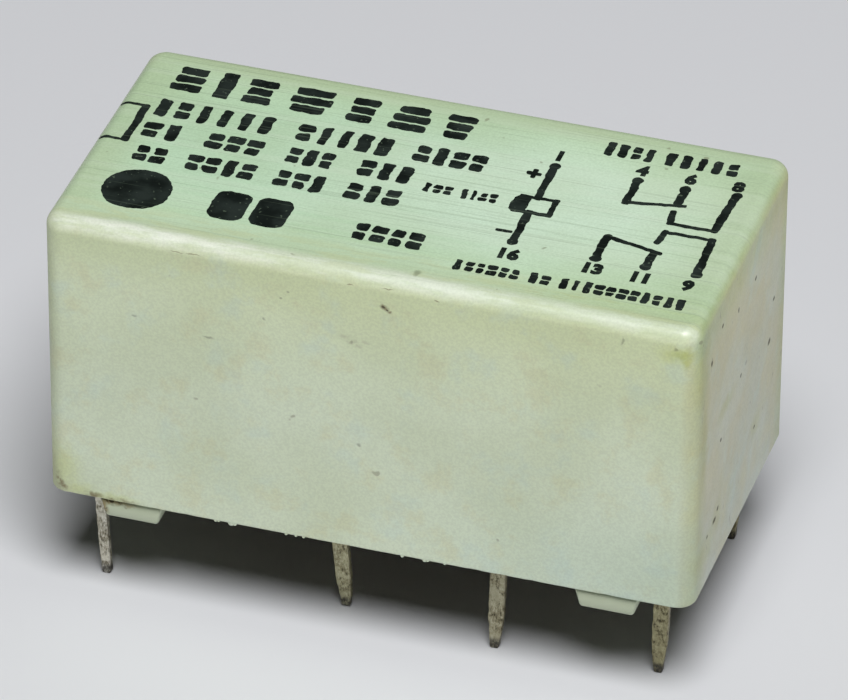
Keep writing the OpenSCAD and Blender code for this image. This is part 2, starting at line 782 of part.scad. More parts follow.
// Fields of ink in the layout of a printed legend, with no words
module printed_legend() {
    left = -flat_x + 0.7;
    mid = coil_col - 1.2;
    color(ink) {
        word_row([left, mid - 1.65], 3.45, [1.2, 0.5, 1.1, 1.6, 1.1, 1.4, 1.05], 1.4, 0.3);
        word_row([left, mid - 0.75], 1.72, [3.9, 3.1, 2.3], 0.95, 0.6);
        word_row([left + 0.05, mid - 2.6], 0.45, [1.3, 1.8, 1.5, 1.75], 0.9, 0.7);
        word_row([left + 0.25, mid - 2.6], -0.85, [1.1, 2.25, 1.65, 1.8], 0.9, 0.55);
        word_row([mid - 2.25, mid + 0.1], 0.03, [1, 1.2], 0.5);
        word_row([mid - 3.5, mid - 1.25], -2.85, [1], 0.95);
        word_row([com_col - 1.45, no_col - 0.15], 3.73, [1.65, 2.4], 0.7);
        word_row([mid - 0.15, no_col + 0.3], -3.62, [2.1, 0.75, 3.9], 0.55);
        word_row([left, left + 2.1], -2.75, [1], 2.1);
        word_row([left + 3.4, left + 5.8], -2.75, [1, 1], 1.5);
    }
}

cover();
base_plate();
sealing_resin();
coil_pin(-1, pin_1_angle);  // coil_pin_1
coil_pin(1, 0);  // coil_pin_16
com_terminal(-1, pin_4_angle, pin_4_tuck_angle);  // com_terminal_4
com_terminal(1, 0, 0);  // com_terminal_13
nc_terminal(-1, -pin_6_angle, 0);  // nc_terminal_6
nc_terminal(1, 0, 0);  // nc_terminal_11
no_terminal(-1, -pin_8_angle, pin_8_tuck_angle);  // no_terminal_8
no_terminal(1, 0, 0);  // no_terminal_9
bobbin();
winding();
coil_lead(-1);  // coil_lead_1
coil_lead(1);  // coil_lead_16
core();
pole_plate();
magnet();
armature_cradle();
armature();
actuator_card();
leaf(-1);  // moving_spring_front
leaf(1);  // moving_spring_back
domes(-1);  // moving_contacts_front
domes(1);  // moving_contacts_back
contact_bar(-1, break_z, false);  // nc_contact_front
contact_bar(1, break_z, false);  // nc_contact_back
contact_bar(-1, make_z, true);  // no_contact_front
contact_bar(1, make_z, true);  // no_contact_back
printed_index();
printed_schematic();
printed_legend();
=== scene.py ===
# %% [markdown]
# # A sealed signal relay, dressed in Blender
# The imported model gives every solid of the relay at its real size: the moulded cover, the base
# with its feet, eight flat pins and, inside, a coil, a magnet, a rocking armature and leaf springs.
# This script never moves those solids. It gives each one a finish, and where the real piece has
# softer edges or finer detail than the solid, a new mesh stands in its place.

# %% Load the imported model
import json
import math

import bmesh
import bpy
from mathutils import Matrix, Vector, noise

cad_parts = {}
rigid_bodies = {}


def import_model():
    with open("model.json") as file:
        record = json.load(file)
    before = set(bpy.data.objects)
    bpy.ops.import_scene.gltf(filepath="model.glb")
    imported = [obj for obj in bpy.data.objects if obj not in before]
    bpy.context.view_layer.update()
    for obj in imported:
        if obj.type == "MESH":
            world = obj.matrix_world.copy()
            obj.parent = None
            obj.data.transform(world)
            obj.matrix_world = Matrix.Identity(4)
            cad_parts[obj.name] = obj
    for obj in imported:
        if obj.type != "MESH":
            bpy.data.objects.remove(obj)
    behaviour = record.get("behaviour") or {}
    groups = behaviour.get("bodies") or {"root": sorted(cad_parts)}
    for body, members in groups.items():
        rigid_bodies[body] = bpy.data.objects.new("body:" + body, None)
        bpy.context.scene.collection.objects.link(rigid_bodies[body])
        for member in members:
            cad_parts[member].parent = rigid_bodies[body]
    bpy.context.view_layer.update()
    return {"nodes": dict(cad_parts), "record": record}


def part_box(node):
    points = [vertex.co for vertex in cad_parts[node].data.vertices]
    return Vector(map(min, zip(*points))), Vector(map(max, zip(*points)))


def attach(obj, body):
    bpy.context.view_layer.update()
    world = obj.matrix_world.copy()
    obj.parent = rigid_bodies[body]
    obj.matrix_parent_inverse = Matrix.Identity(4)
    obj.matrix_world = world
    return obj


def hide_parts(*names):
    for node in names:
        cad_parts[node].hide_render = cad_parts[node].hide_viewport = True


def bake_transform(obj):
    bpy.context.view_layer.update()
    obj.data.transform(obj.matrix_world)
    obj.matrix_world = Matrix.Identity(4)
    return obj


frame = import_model()
nodes = frame["nodes"]
slots = {row["node"]: row["material_slot"] for row in frame["record"]["subparts"]}

# %% [markdown]
# ## Sizes
# Blender works in metres, and a relay is 20 mm long, so lengths are written in millimetres and
# multiplied by MM. Levels and reaches are read from the solids. Radii can't be read from a box,
# so they are named here as they are on the solids.

# %% Levels and radii
MM = 0.001
cover_low, cover_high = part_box("cover")
rim_z = cover_low.z
top_z = cover_high.z
half_l = cover_high.x
half_w = cover_high.y
resin_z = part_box("sealing_resin")[0].z
corner_r = 0.6 * MM
edge_r = 0.45 * MM
wall_t = 0.5 * MM
roof_t = 0.5 * MM
inside_r = 0.35 * MM
root_r = 0.2 * MM
ink_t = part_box("printed_index")[1].z - top_z
print("rim", round(rim_z / MM, 2), "top", round(top_z / MM, 2), "ink", round(ink_t / MM, 3), "mm")

# %% [markdown]
# ## Camera
# The camera stands where the photograph was taken from: a little to the right of the front and
# well above. Its lens is long, so the relay shows almost no perspective. It is placed by turning
# it about the point that it looks at and then moving it back along its own axis.

# %% Camera
AIM = Vector((0.0456, 0.4222, 7.2705)) * MM
DISTANCE = 246.1185 * MM
AZIMUTH = math.radians(17.5692)
TILT = math.radians(55.7288)
ROLL = math.radians(0.3574)
SENSOR = 36.0
LENS = 347.046


def link(name, data):
    """A new object at the origin, in the scene."""
    made = bpy.data.objects.new(name, data)
    bpy.context.scene.collection.objects.link(made)
    return made


def place_camera():
    camera = link("camera", bpy.data.cameras.new("camera"))
    turn = Matrix.Rotation(AZIMUTH, 4, "Z") @ Matrix.Rotation(TILT, 4, "X") @ Matrix.Rotation(ROLL, 4, "Z")
    camera.matrix_world = Matrix.Translation(AIM) @ turn @ Matrix.Translation((0, 0, DISTANCE))
    camera.data.sensor_width = SENSOR
    camera.data.lens = LENS
    camera.data.clip_start = 0.01
    camera.data.clip_end = 10
    bpy.context.scene.camera = camera


place_camera()
print("camera with a lens of", LENS, "mm,", round(DISTANCE, 3), "m away")

# %% [markdown]
# ## Floor and light
# One large soft lamp hangs over the relay, a little to the front and to the contact end, which
# is what the shadow under the relay asks for. The pale floor throws enough of that light back
# to fill the front face. The world gives almost no light, but the camera sees it as pale grey.

# %% Floor, lamp and world
LAMP_TOWARDS = Vector((0.19, -0.37, 0.91)).normalized()
LAMP_DISTANCE = 0.45
LAMP_SIZE = 0.24
LAMP_WATTS = 1.92
FLOOR_HALF = 1.0
FLOOR_COLOUR = (0.80, 0.81, 0.84, 1)
WORLD_LIGHT = (0.90, 0.95, 1.0, 1)
WORLD_STRENGTH = 0.01
WORLD_SEEN = (0.86, 0.87, 0.90, 1)


def lay_floor():
    mesh = bpy.data.meshes.new("floor")
    corners = [(x * FLOOR_HALF, y * FLOOR_HALF, 0) for x, y in ((-1, -1), (1, -1), (1, 1), (-1, 1))]
    mesh.from_pydata(corners, [], [(0, 1, 2, 3)])
    paint = bpy.data.materials.new("floor_paper")
    paint.use_nodes = True
    shader = paint.node_tree.nodes["Principled BSDF"]
    shader.inputs["Base Color"].default_value = FLOOR_COLOUR
    shader.inputs["Roughness"].default_value = 0.9
    shader.inputs["Specular IOR Level"].default_value = 0.1
    mesh.materials.append(paint)
    link("floor", mesh)


def hang_lamp():
    lamp = link("soft_lamp", bpy.data.lights.new("soft_lamp", "AREA"))
    lamp.data.shape = "DISK"
    lamp.data.size = LAMP_SIZE
    lamp.data.energy = LAMP_WATTS
    lamp.location = Vector((0, 0, top_z)) + LAMP_TOWARDS * LAMP_DISTANCE
    lamp.rotation_mode = "QUATERNION"
    lamp.rotation_quaternion = LAMP_TOWARDS.to_track_quat("Z", "Y")


def fill_world():
    world = bpy.data.worlds.new("studio")
    bpy.context.scene.world = world
    world.use_nodes = True
    tree = world.node_tree
    light = tree.nodes["Background"]
    light.inputs["Color"].default_value = WORLD_LIGHT
    light.inputs["Strength"].default_value = WORLD_STRENGTH
    seen = tree.nodes.new("ShaderNodeBackground")
    seen.inputs["Color"].default_value = WORLD_SEEN
    path = tree.nodes.new("ShaderNodeLightPath")
    mix = tree.nodes.new("ShaderNodeMixShader")
    tree.links.new(path.outputs["Is Camera Ray"], mix.inputs[0])
    tree.links.new(light.outputs[0], mix.inputs[1])
    tree.links.new(seen.outputs[0], mix.inputs[2])
    tree.links.new(mix.outputs[0], tree.nodes["World Output"].inputs["Surface"])


lay_floor()
hang_lamp()
fill_world()
bpy.context.scene.view_settings.view_transform = "Standard"
print("lamp of", LAMP_WATTS, "W at", LAMP_DISTANCE, "m")

# %% [markdown]
# ## Mixing materials
# Every finish is a tree of nodes that reads the piece's own coordinates, so a scratch or a stain
# stays on its piece when the piece moves. The trees are long if each node is written out, so one
# small class puts and links nodes, and a second mixes a material as a painter does. It starts
# with one colour. A paint layer covers what lies under it, and a stain multiplies it, as a thin
# film does. Each layer takes shares from 0 to 1 that are multiplied: noise, a ramp along an axis,
# or marks at given places.


# %% Trees and recipes
class Tree:
    """A node tree that is being built."""

    def put(self, kind, inputs=(), **settings):
        """Adds a node. Its inputs are given in order or by name."""
        node = self.tree.nodes.new(kind)
        for name, value in settings.items():
            setattr(node, name, value)
        if not isinstance(inputs, dict):
            inputs = dict(enumerate(inputs))
        for key, source in inputs.items():
            self.feed(node.inputs[key], source)
        return node

    def feed(self, socket, source):
        if isinstance(source, bpy.types.NodeSocket):
            self.tree.links.new(source, socket)
        else:
            if socket.type == "RGBA":
                source = (*source, 1)
            socket.default_value = source

    def maths(self, operation, a, b=0.0):
        return self.put("ShaderNodeMath", (a, b), operation=operation).outputs[0]

    def vector(self, operation, a, b):
        return self.put("ShaderNodeVectorMath", (a, b), operation=operation).outputs[0]

    def times(self, first=1.0, *others):
        for other in others:
            first = self.maths("MULTIPLY", first, other)
        return first


class Recipe(Tree):
    """One material being mixed, layer by layer. Places inside it are in millimetres."""

    def __init__(self, name, colour, metallic=0.0, specular=0.5):
        self.material = bpy.data.materials.new(name)
        self.material.use_nodes = True
        self.tree = self.material.node_tree
        self.shader = self.tree.nodes["Principled BSDF"]
        self.shader.inputs["Metallic"].default_value = metallic
        self.shader.inputs["Specular IOR Level"].default_value = specular
        self.colour = colour
        metres = self.put("ShaderNodeTexCoord").outputs["Object"]
        self.place = self.vector("MULTIPLY", metres, (1 / MM,) * 3)
        self.x, self.y, self.z = self.put("ShaderNodeSeparateXYZ", (self.place,)).outputs

    def ramp(self, value, low, high, a=0.0, b=1.0):
        """Goes smoothly from a to b while value goes from low to high."""
        inputs = (value, low, high, a, b)
        return self.put("ShaderNodeMapRange", inputs, interpolation_type="SMOOTHSTEP").outputs[0]

    def noise(self, per_mm, detail=3, rough=0.5, turn=0.0):
        """Soft noise. Three values of per_mm stretch it along X, Y and Z, turned about Z."""
        where = self.place
        if isinstance(per_mm, tuple):
            inputs = {"Vector": where, "Rotation": (0, 0, turn), "Scale": per_mm}
            where = self.put("ShaderNodeMapping", inputs).outputs[0]
            per_mm = 1
        inputs = {"Vector": where, "Scale": per_mm, "Detail": detail, "Roughness": rough}
        return self.put("ShaderNodeTexNoise", inputs).outputs["Fac"]

    def marks(self, spots, soft, wobble=0.0):
        """1 inside any of some ovals, 0 outside. A spot is its centre and its half sizes."""
        where = self.place
        if wobble:
            cloud = self.put("ShaderNodeTexNoise", {"Vector": where, "Scale": 4}).outputs["Color"]
            push = self.vector("SUBTRACT", cloud, (0.5,) * 3)
            where = self.vector("ADD", where, self.vector("MULTIPLY", push, (wobble,) * 3))
        nearest = 9.0
        for centre, halves in spots:
            away = self.vector("DIVIDE", self.vector("SUBTRACT", where, centre), halves)
            length = self.put("ShaderNodeVectorMath", (away,), operation="LENGTH").outputs["Value"]
            nearest = self.maths("MINIMUM", nearest, length)
        return self.ramp(nearest, 1 - soft, 1 + soft, 1, 0)

    def tint(self, share, a, b, blend="MIX"):
        inputs = {"Factor": share, 6: a, 7: b}
        return self.put("ShaderNodeMix", inputs, data_type="RGBA", blend_type=blend).outputs[2]

    def paint(self, colour, *shares):
        """Lays a colour over the ones so far."""
        self.colour = self.tint(self.times(*shares), self.colour, colour)

    def stain(self, colour, *shares):
        """Multiplies the ones so far by a colour."""
        self.colour = self.tint(self.times(*shares), self.colour, colour, "MULTIPLY")

    def done(self, roughness, relief=None, depth=0.0):
        """The finished material. Its relief raises the surface by depth, in millimetres."""
        self.feed(self.shader.inputs["Base Color"], self.colour)
        self.feed(self.shader.inputs["Roughness"], roughness)
        if relief:
            bump = self.put("ShaderNodeBump", {"Strength": 1, "Distance": depth * MM, "Height": relief})
            self.feed(self.shader.inputs["Normal"], bump.outputs[0])
        return self.material


print("recipe ready")

# %% [markdown]
# ## Aged ivory, with painted light and shade
# The cover was moulded in a pale ivory plastic. Its top is painted a little greener than the walls,
# as painted light: the tint that light from above gives it. The top is paler in the middle and
# yellower along the border. The end that faces the contacts is painted darker and redder, as
# painted shade. The layers that follow lie only on some faces, so their masks are made first.
# LONG and WIDE are the cover's half sizes and TOP and RIM its levels, all in millimetres, as the
# recipes want them.

# %% Ivory of the faces
LONG, WIDE, TOP, RIM = (v / MM for v in (half_l, half_w, top_z, rim_z))
IVORY_SIDE = (0.730, 0.820, 0.615)
TOP_LIGHT_TINT = (0.620, 0.835, 0.560)
END_SHADE = (0.90, 0.82, 0.80)
TOP_PALE = (0.79, 0.96, 0.73)
TOP_COOL = (0.985, 1.01, 1.055)
TOP_WARM = (1.0, 0.975, 0.86)
TOP_BORDER = (0.540, 0.665, 0.410)
PALE_AREA = (((4.2, 0.2, TOP), (6.8, 3.0, 3.0)),)
COOL_AREA = (((-0.5, 0.0, TOP), (10.0, 3.3, 3.0)),)


def mask_faces(r):
    """Shares of the top, the walls, the contact end and the upright edges, and shared noises."""
    r.cloud = r.noise(0.22, 4)
    r.grain = r.noise(13, 2)
    r.scuffs = r.noise((0.55, 3.0, 2.0), 5, 0.7)
    r.high = r.ramp(r.z, TOP - 0.42, TOP - 0.05)
    r.wall = r.maths("SUBTRACT", 1.0, r.high)
    r.end = r.ramp(r.x, LONG - 0.6, LONG - 0.15)
    r.x_out = r.maths("ABSOLUTE", r.x)
    r.y_out = r.maths("ABSOLUTE", r.y)
    r.upright = r.times(r.ramp(r.x_out, LONG - 0.60, LONG - 0.08), r.ramp(r.y_out, WIDE - 1.5, WIDE - 0.5))


def tone_faces(r):
    # Painted light: the top is tinted greener than the walls.
    r.paint(TOP_LIGHT_TINT, r.high)
    # Painted shade: the contact end is darker and redder than the walls.
    r.stain(END_SHADE, r.end, r.ramp(r.z, TOP, TOP - 0.4))
    r.paint(TOP_PALE, r.marks(PALE_AREA, 0.7), r.high, 0.78)
    r.stain(TOP_COOL, r.marks(COOL_AREA, 0.35), r.high)
    r.stain(TOP_WARM, r.ramp(r.x, 0, 9), r.ramp(r.y, -3.1, -4.2), r.high)
    near_x = r.ramp(r.x_out, LONG - 2.2, LONG - 0.5, 0.0, 0.7)
    near_y = r.ramp(r.y_out, WIDE - 1.5, WIDE - 0.3)
    patchy = r.ramp(r.cloud, 0.35, 0.6, 0.5, 0.9)
    r.paint(TOP_BORDER, r.maths("MAXIMUM", near_x, near_y), r.high, patchy)


print("ivory of the faces, on a cover of", round(2 * LONG, 1), "by", round(2 * WIDE, 1), "mm")

# %% [markdown]
# Edges age first. The upright edges and a line just under the top have yellowed. The front edge
# of the top carries a painted highlight, pale and broken up by noise, where the lamp would shine
# off its rounding, and a yellow fringe lies behind it.

# %% Ivory of the edges
IVORY_EDGE = (0.645, 0.735, 0.455)
EDGE_FRINGE = (0.60, 0.68, 0.36)
EDGE_HIGHLIGHT = (0.94, 0.98, 0.86)


def age_edges(r):
    under_top = r.times(r.ramp(r.z, TOP - 2.2, TOP - 0.5), r.ramp(r.z, TOP, TOP - 0.3), 0.75)
    edges = r.maths("MAXIMUM", r.upright, under_top)
    r.paint(IVORY_EDGE, edges, r.ramp(r.cloud, 0.3, 0.7, 0.55, 1.0), 0.8)
    behind = r.ramp(r.y, 2.0 - WIDE, 0.7 - WIDE)
    r.paint(EDGE_FRINGE, behind, r.high, r.ramp(r.scuffs, 0.44, 0.60, 0.0, 0.55))
    # Painted highlight along the rounded front edge of the top.
    front_edge = r.times(r.ramp(r.y, 0.75 - WIDE, 0.3 - WIDE), r.ramp(r.z, TOP - 0.5, TOP - 0.15))
    highlit = r.times(r.ramp(r.x, -8, 8, 0.95, 0.60), r.ramp(r.scuffs, 0.36, 0.60, 1.0, 0.45))
    r.paint(EDGE_HIGHLIGHT, front_edge, highlit)


print("edges yellowed, and rubbed along the front")

# %% [markdown]
# The walls are never one colour. They carry warm and cool clouds and yellow towards the top.
# They are painted lighter high on the left, as painted light, and cooler low on the right, as a
# painted reflection of the pale floor. The contact end has dashes of dirt and a worn lip.

# %% Ivory of the walls
WALL_YELLOW = (1.0, 1.0, 0.90)
WALL_LIT = (1.065, 1.055, 1.03)
WALL_WARM = (0.680, 0.685, 0.420)
WALL_COOL = (0.640, 0.780, 0.680)
WALL_FLOOR_REFLECTION = (0.88, 0.92, 0.97)
END_PINK = (1.02, 0.975, 0.88)
END_BLUE = (0.99, 1.015, 1.06)
END_DIRT = (0.30, 0.28, 0.14)
END_LIP = (0.80, 0.83, 0.64)
CLOUD_TONES = ((0.95, 0.95, 0.91), (1.04, 1.04, 1.05))
GRAIN_TONES = ((0.945,) * 3, (1.045,) * 3)


def cloud_walls(r):
    r.stain(WALL_YELLOW, r.ramp(r.z, 7, TOP - 1), r.wall)
    # Painted light: the walls are lighter high up on the left.
    r.stain(WALL_LIT, r.ramp(r.z, 9.5, 13), r.ramp(r.x, -7, -2), r.wall)
    r.paint(WALL_WARM, r.ramp(r.noise(0.85, 5, 0.62), 0.50, 0.68, 0, 0.42), r.wall)
    r.paint(WALL_COOL, r.ramp(r.noise(0.6, 4, 0.6), 0.52, 0.68, 0, 0.35), r.wall)
    on_end = r.times(r.end, r.wall)
    r.stain(r.tint(r.ramp(r.noise(0.4, 2), 0.38, 0.62), END_PINK, END_BLUE), on_end)
    r.paint(END_DIRT, r.ramp(r.noise((1, 2.4, 1.1), 3, 0.6), 0.66, 0.74, 0, 0.6), on_end)
    lip = r.times(r.ramp(r.x, LONG - 0.20, LONG - 0.03), r.ramp(r.z, TOP - 1.8, TOP - 0.45))
    r.stain(END_LIP, lip, r.ramp(r.scuffs, 0.35, 0.6, 1.0, 0.75), r.ramp(r.y, -WIDE, WIDE, 1.0, 0.7))
    # Painted reflection: the walls are cooler low on the right, as if the pale floor shone in them.
    r.stain(WALL_FLOOR_REFLECTION, r.ramp(r.z, 8, 4), r.ramp(r.x, 0, 9))
    r.stain(r.tint(r.ramp(r.cloud, 0.35, 0.65), *CLOUD_TONES))
    r.stain(r.tint(r.ramp(r.grain, 0.3, 0.7), *GRAIN_TONES))


print("walls clouded")

# %% [markdown]
# The top carries fine lengthwise scratches from the tube that relays are shipped in. Noise that
# is stretched a hundred times longer than wide gives such lines, and a turn of a degree between
# two sets of them keeps them from looking ruled. Wide pale bands lie between them.

# %% Scratches of the top
SCRATCH = (0.36, 0.47, 0.32)
BAND_PALE = (0.84, 0.96, 0.78)


def scratch_top(r):
    long_lines = r.ramp(r.noise((0.10, 7.5, 1), 3, 0.65, 0.006), 0.56, 0.70)
    fine_lines = r.times(r.ramp(r.noise((0.22, 14, 1), 2, 0.6, -0.02), 0.62, 0.72), 0.7)
    r.streaks = r.times(r.maths("MAXIMUM", long_lines, fine_lines), r.high)
    r.paint(SCRATCH, r.streaks, 0.30)
    r.paint(BAND_PALE, r.ramp(r.noise((0.05, 2.2, 1), 2), 0.45, 0.62), r.high, 0.16)


print("top scratched")

# %% [markdown]
# Marks that the eye would look for sit at their own places: yellow stains at the corners, brown
# flux by the first pin, a small burn, a smudge, hair cracks under the top edge, and specks. A
# spot on the front is given by X, Z and its half sizes, one on the contact end by Y, Z and its
# half sizes, and the few on a rounded corner by their centre and half sizes in full.

# %% Marks of the cover
FRONT = -WIDE
SPECK_BROWN = (0.050, 0.040, 0.010)
FLUX_BROWN = (0.17, 0.115, 0.030)
STAIN_OCHRE = (0.91, 0.90, 0.68)
STAIN_OLIVE = (0.87, 0.87, 0.62)
SMUDGE_GREY = (0.36, 0.35, 0.22)
DUST_BROWN = (0.22, 0.20, 0.12)
SKIN = 0.2


def on_front(*spots):
    return [((x, FRONT, z), (wide, SKIN, tall)) for x, z, wide, tall in spots]


def on_end(*spots):
    return [((LONG, y, z), (SKIN, wide, tall)) for y, z, wide, tall in spots]


BURN = on_front((0.56, 12.40, 0.11, 0.08), (0.70, 12.31, 0.06, 0.05))
BURN_CORE = on_front((0.53, 12.42, 0.05, 0.04), (0.64, 12.35, 0.035, 0.03))
TOP_SPECK = ((1.35, -4.42, TOP), (0.10, 0.13, 0.3))
FRONT_SPECKS = on_front(
    (-4.90, 10.20, 0.13, 0.035), (-7.21, 10.49, 0.08, 0.04), (-3.14, 11.22, 0.05, 0.05),
    (-2.63, 12.09, 0.05, 0.04), (-2.42, 12.35, 0.05, 0.04), (-0.22, 7.36, 0.06, 0.06),
    (7.81, 12.77, 0.035, 0.10), (9.42, 12.81, 0.07, 0.05),
)
END_SPECKS = on_end(
    (2.95, 8.09, 0.13, 0.09), (3.34, 9.40, 0.08, 0.07), (1.15, 11.51, 0.10, 0.06),
    (-0.21, 8.92, 0.08, 0.06), (-0.68, 11.55, 0.06, 0.09), (-2.43, 12.11, 0.09, 0.06),
    (-3.53, 11.48, 0.08, 0.08), (-2.26, 7.95, 0.08, 0.06), (1.51, 5.91, 0.08, 0.06),
    (-2.74, 5.36, 0.17, 0.08), (-2.40, 5.56, 0.08, 0.08), (-3.51, 5.26, 0.06, 0.05),
)
EDGE_CRACKS = on_front(
    (-5.85, 13.03, 0.16, 0.015), (-5.35, 13.05, 0.2, 0.018), (-0.50, 13.00, 0.08, 0.02),
    (0.66, 13.06, 0.15, 0.015), (2.17, 12.99, 0.07, 0.02),
)
SMUDGE = on_front(
    (-0.66, 11.13, 0.12, 0.07), (-0.44, 10.99, 0.15, 0.06), (-0.04, 11.04, 0.10, 0.05),
    (-0.25, 10.88, 0.13, 0.05),
) + [((-9.75, FRONT, 3.70), (0.45, 0.3, 0.25)), ((-10.0, -4.90, 4.20), (0.20, 0.3, 0.55))]
YELLOW_STAINS = on_end(
    (-4.30, 11.60, 0.50, 1.10), (-4.10, 9.00, 0.30, 1.20), (-3.60, 4.90, 0.90, 0.50),
    (-2.60, 5.30, 0.45, 0.40), (1.55, 5.95, 0.40, 0.30), (-1.80, 8.90, 0.80, 0.25),
) + [
    ((-9.60, FRONT, 4.50), (0.45, 0.5, 0.70)), ((-9.20, FRONT, 3.80), (0.50, 0.5, 0.25)),
    ((-9.95, -4.80, 4.30), (0.30, 0.6, 1.00)), ((-8.10, FRONT, 3.70), (0.75, 0.4, 0.16)),
    ((9.45, -5.00, 12.60), (0.50, 0.3, 0.25)),
]
CORNER_STAIN = (((9.62, -5.00, 12.62), (0.30, 0.3, 0.14)), ((9.76, -4.97, 12.38), (0.13, 0.2, 0.20)))
RIM_FLUX = (
    ((-8.1, FRONT, 3.66), (0.60, 0.4, 0.07)), ((-8.6, FRONT, 3.68), (0.28, 0.4, 0.10)),
    ((-9.72, -4.98, 3.98), (0.10, 0.2, 0.22)), ((-9.62, FRONT, 3.80), (0.12, 0.2, 0.08)),
)


def mark_cover(r):
    r.stain(STAIN_OCHRE, r.marks(YELLOW_STAINS, 0.9, 0.4))
    r.stain(STAIN_OLIVE, r.marks(CORNER_STAIN, 0.9, 0.3))
    r.paint(SMUDGE_GREY, r.marks(SMUDGE, 0.9, 0.3), 0.30)
    r.paint(FLUX_BROWN, r.marks(RIM_FLUX, 0.9, 0.3), r.ramp(r.noise(5), 0.38, 0.6, 0.25, 1.0), 0.85)
    r.paint(SPECK_BROWN, r.marks([*FRONT_SPECKS, TOP_SPECK], 0.6, 0.2), 0.42)
    r.specks = r.marks(END_SPECKS, 0.5, 0.12)
    r.paint(SPECK_BROWN, r.specks, 0.88)
    r.paint(FLUX_BROWN, r.marks(BURN, 0.6, 0.25), 0.75)
    r.paint(SPECK_BROWN, r.marks(BURN_CORE, 0.5, 0.1), 0.9)
    r.paint(FLUX_BROWN, r.marks(EDGE_CRACKS, 0.6, 0.15), 0.65)
    r.paint(DUST_BROWN, r.ramp(r.noise(1.6, 2), 0.735, 0.775), 0.5)


def aged_ivory():
    r = Recipe("aged_ivory", IVORY_SIDE, specular=0.75)
    for layers in (mask_faces, tone_faces, age_edges, cloud_walls, scratch_top, mark_cover):
        layers(r)
    worn = r.maths("MAXIMUM", r.maths("MAXIMUM", r.streaks, r.upright), r.times(r.specks, 2.5))
    gloss = r.ramp(r.noise(2.5), 0.3, 0.7, 0.30, 0.40)
    relief = r.maths("SUBTRACT", r.times(r.grain, 0.30), r.streaks)
    return r.done(r.maths("ADD", gloss, r.times(worn, 0.14)), relief, 0.006)


ivory = aged_ivory()
print("ivory with", len(FRONT_SPECKS) + len(END_SPECKS) + 1, "specks at their places")

# %% [markdown]
# ## The cover
# A box with round upright edges and a round top edge is easiest to make as a stack of rings: each
# ring is the same rounded rectangle, a little lower or further in than the last. The stack starts
# in the middle of the cavity's roof, runs down the inside wall, under the rim and up the outside,
# so the shell comes out closed. Extra rings close to each curve keep the flat faces flat. The rim
# is a little ragged, and small beads of flash from the mould hang under its front.


# %% Rings and the shell
ARC_STEPS = 12
SIDE_CUTS = (110, 54)
LIP_R = 0.05 * MM
RAGGED = 0.022 * MM
RAGGED_BELOW = rim_z + 0.11 * MM
FLASH_BEADS = (
    (-4.76, 0.06), (-4.66, 0.045), (-4.27, 0.105), (-4.16, 0.08), (-2.53, 0.06), (-2.22, 0.05),
    (-1.98, 0.05), (1.12, 0.06), (1.82, 0.075), (1.92, 0.05), (2.45, 0.04),
)


def towards(angle):
    return Vector((math.cos(angle), math.sin(angle)))


def rounded_rect(half_x, half_y, radius, steps, cuts=(1, 1), at=(0, 0)):
    """Points round a rounded rectangle, anticlockwise. Cuts divide its sides along X and Y."""
    arcs = []
    for i, (sx, sy) in enumerate(((1, 1), (-1, 1), (-1, -1), (1, -1))):
        middle = Vector((at[0] + sx * (half_x - radius), at[1] + sy * (half_y - radius)))
        turns = [math.radians(90 * (i + k / steps)) for k in range(steps + 1)]
        arcs.append([middle + towards(a) * radius for a in turns])
    points = []
    for i, arc in enumerate(arcs):
        following = arcs[(i + 1) % 4][0]
        count = cuts[i % 2]
        points += arc + [arc[-1].lerp(following, k / count) for k in range(1, count)]
    return points


def quarter(steps):
    """Sine and cosine in steps over a quarter turn."""
    turns = [math.radians(90 * k / steps) for k in range(steps + 1)]
    return [(math.sin(a), math.cos(a)) for a in turns]


def shell_rings():
    """(level, inset, corner radius) of each ring, from the cavity's roof to the flat top."""
    roof = top_z - roof_t
    rings = []
    for s, c in reversed(quarter(6)):
        rings.append((roof - root_r * (1 - s), wall_t + root_r * (1 - c), inside_r - root_r * (1 - c)))
    for level in (roof - root_r - 0.1 * MM, rim_z + 3 * LIP_R):
        rings.append((level, wall_t, inside_r))
    for s, c in quarter(4):
        rings.append((rim_z + LIP_R * (1 - s), wall_t - LIP_R * (1 - c), inside_r + LIP_R * (1 - c)))
    for s, c in quarter(4):
        rings.append((rim_z + LIP_R * (1 - c), LIP_R * (1 - s), corner_r - LIP_R * (1 - s)))
    for level in (rim_z + up * MM for up in (0.12, 0.3, 1.0, 3.0, 6.0)):
        rings.append((level, 0, corner_r))
    rings.append((top_z - edge_r - 0.06 * MM, 0, corner_r))
    for s, c in quarter(12):
        rings.append((top_z - edge_r * (1 - s), edge_r * (1 - c), corner_r - edge_r * (1 - c)))
    flat = edge_r + 0.04 * MM
    rings.append((top_z, flat, corner_r - flat))
    return rings


def loft(bm, rings):
    """Joins rings of points into a closed tube."""
    rows = [[bm.verts.new(p) for p in ring] for ring in rings]
    count = len(rows[0])
    for lower, upper in zip(rows, rows[1:]):
        for k in range(count):
            n = (k + 1) % count
            bm.faces.new((lower[k], lower[n], upper[n], upper[k]))
    bm.faces.new(list(reversed(rows[0])))
    bm.faces.new(rows[-1])


def raised_rim(p):
    """How far the moulding falls short of the rim at a point."""
    wave = noise.noise(Vector((p.x, p.y, 0)) * 2.2 / MM) + 0.5 * noise.noise(Vector((p.x, p.y, 1)) * 9 / MM)
    return max(0.0, wave) * RAGGED


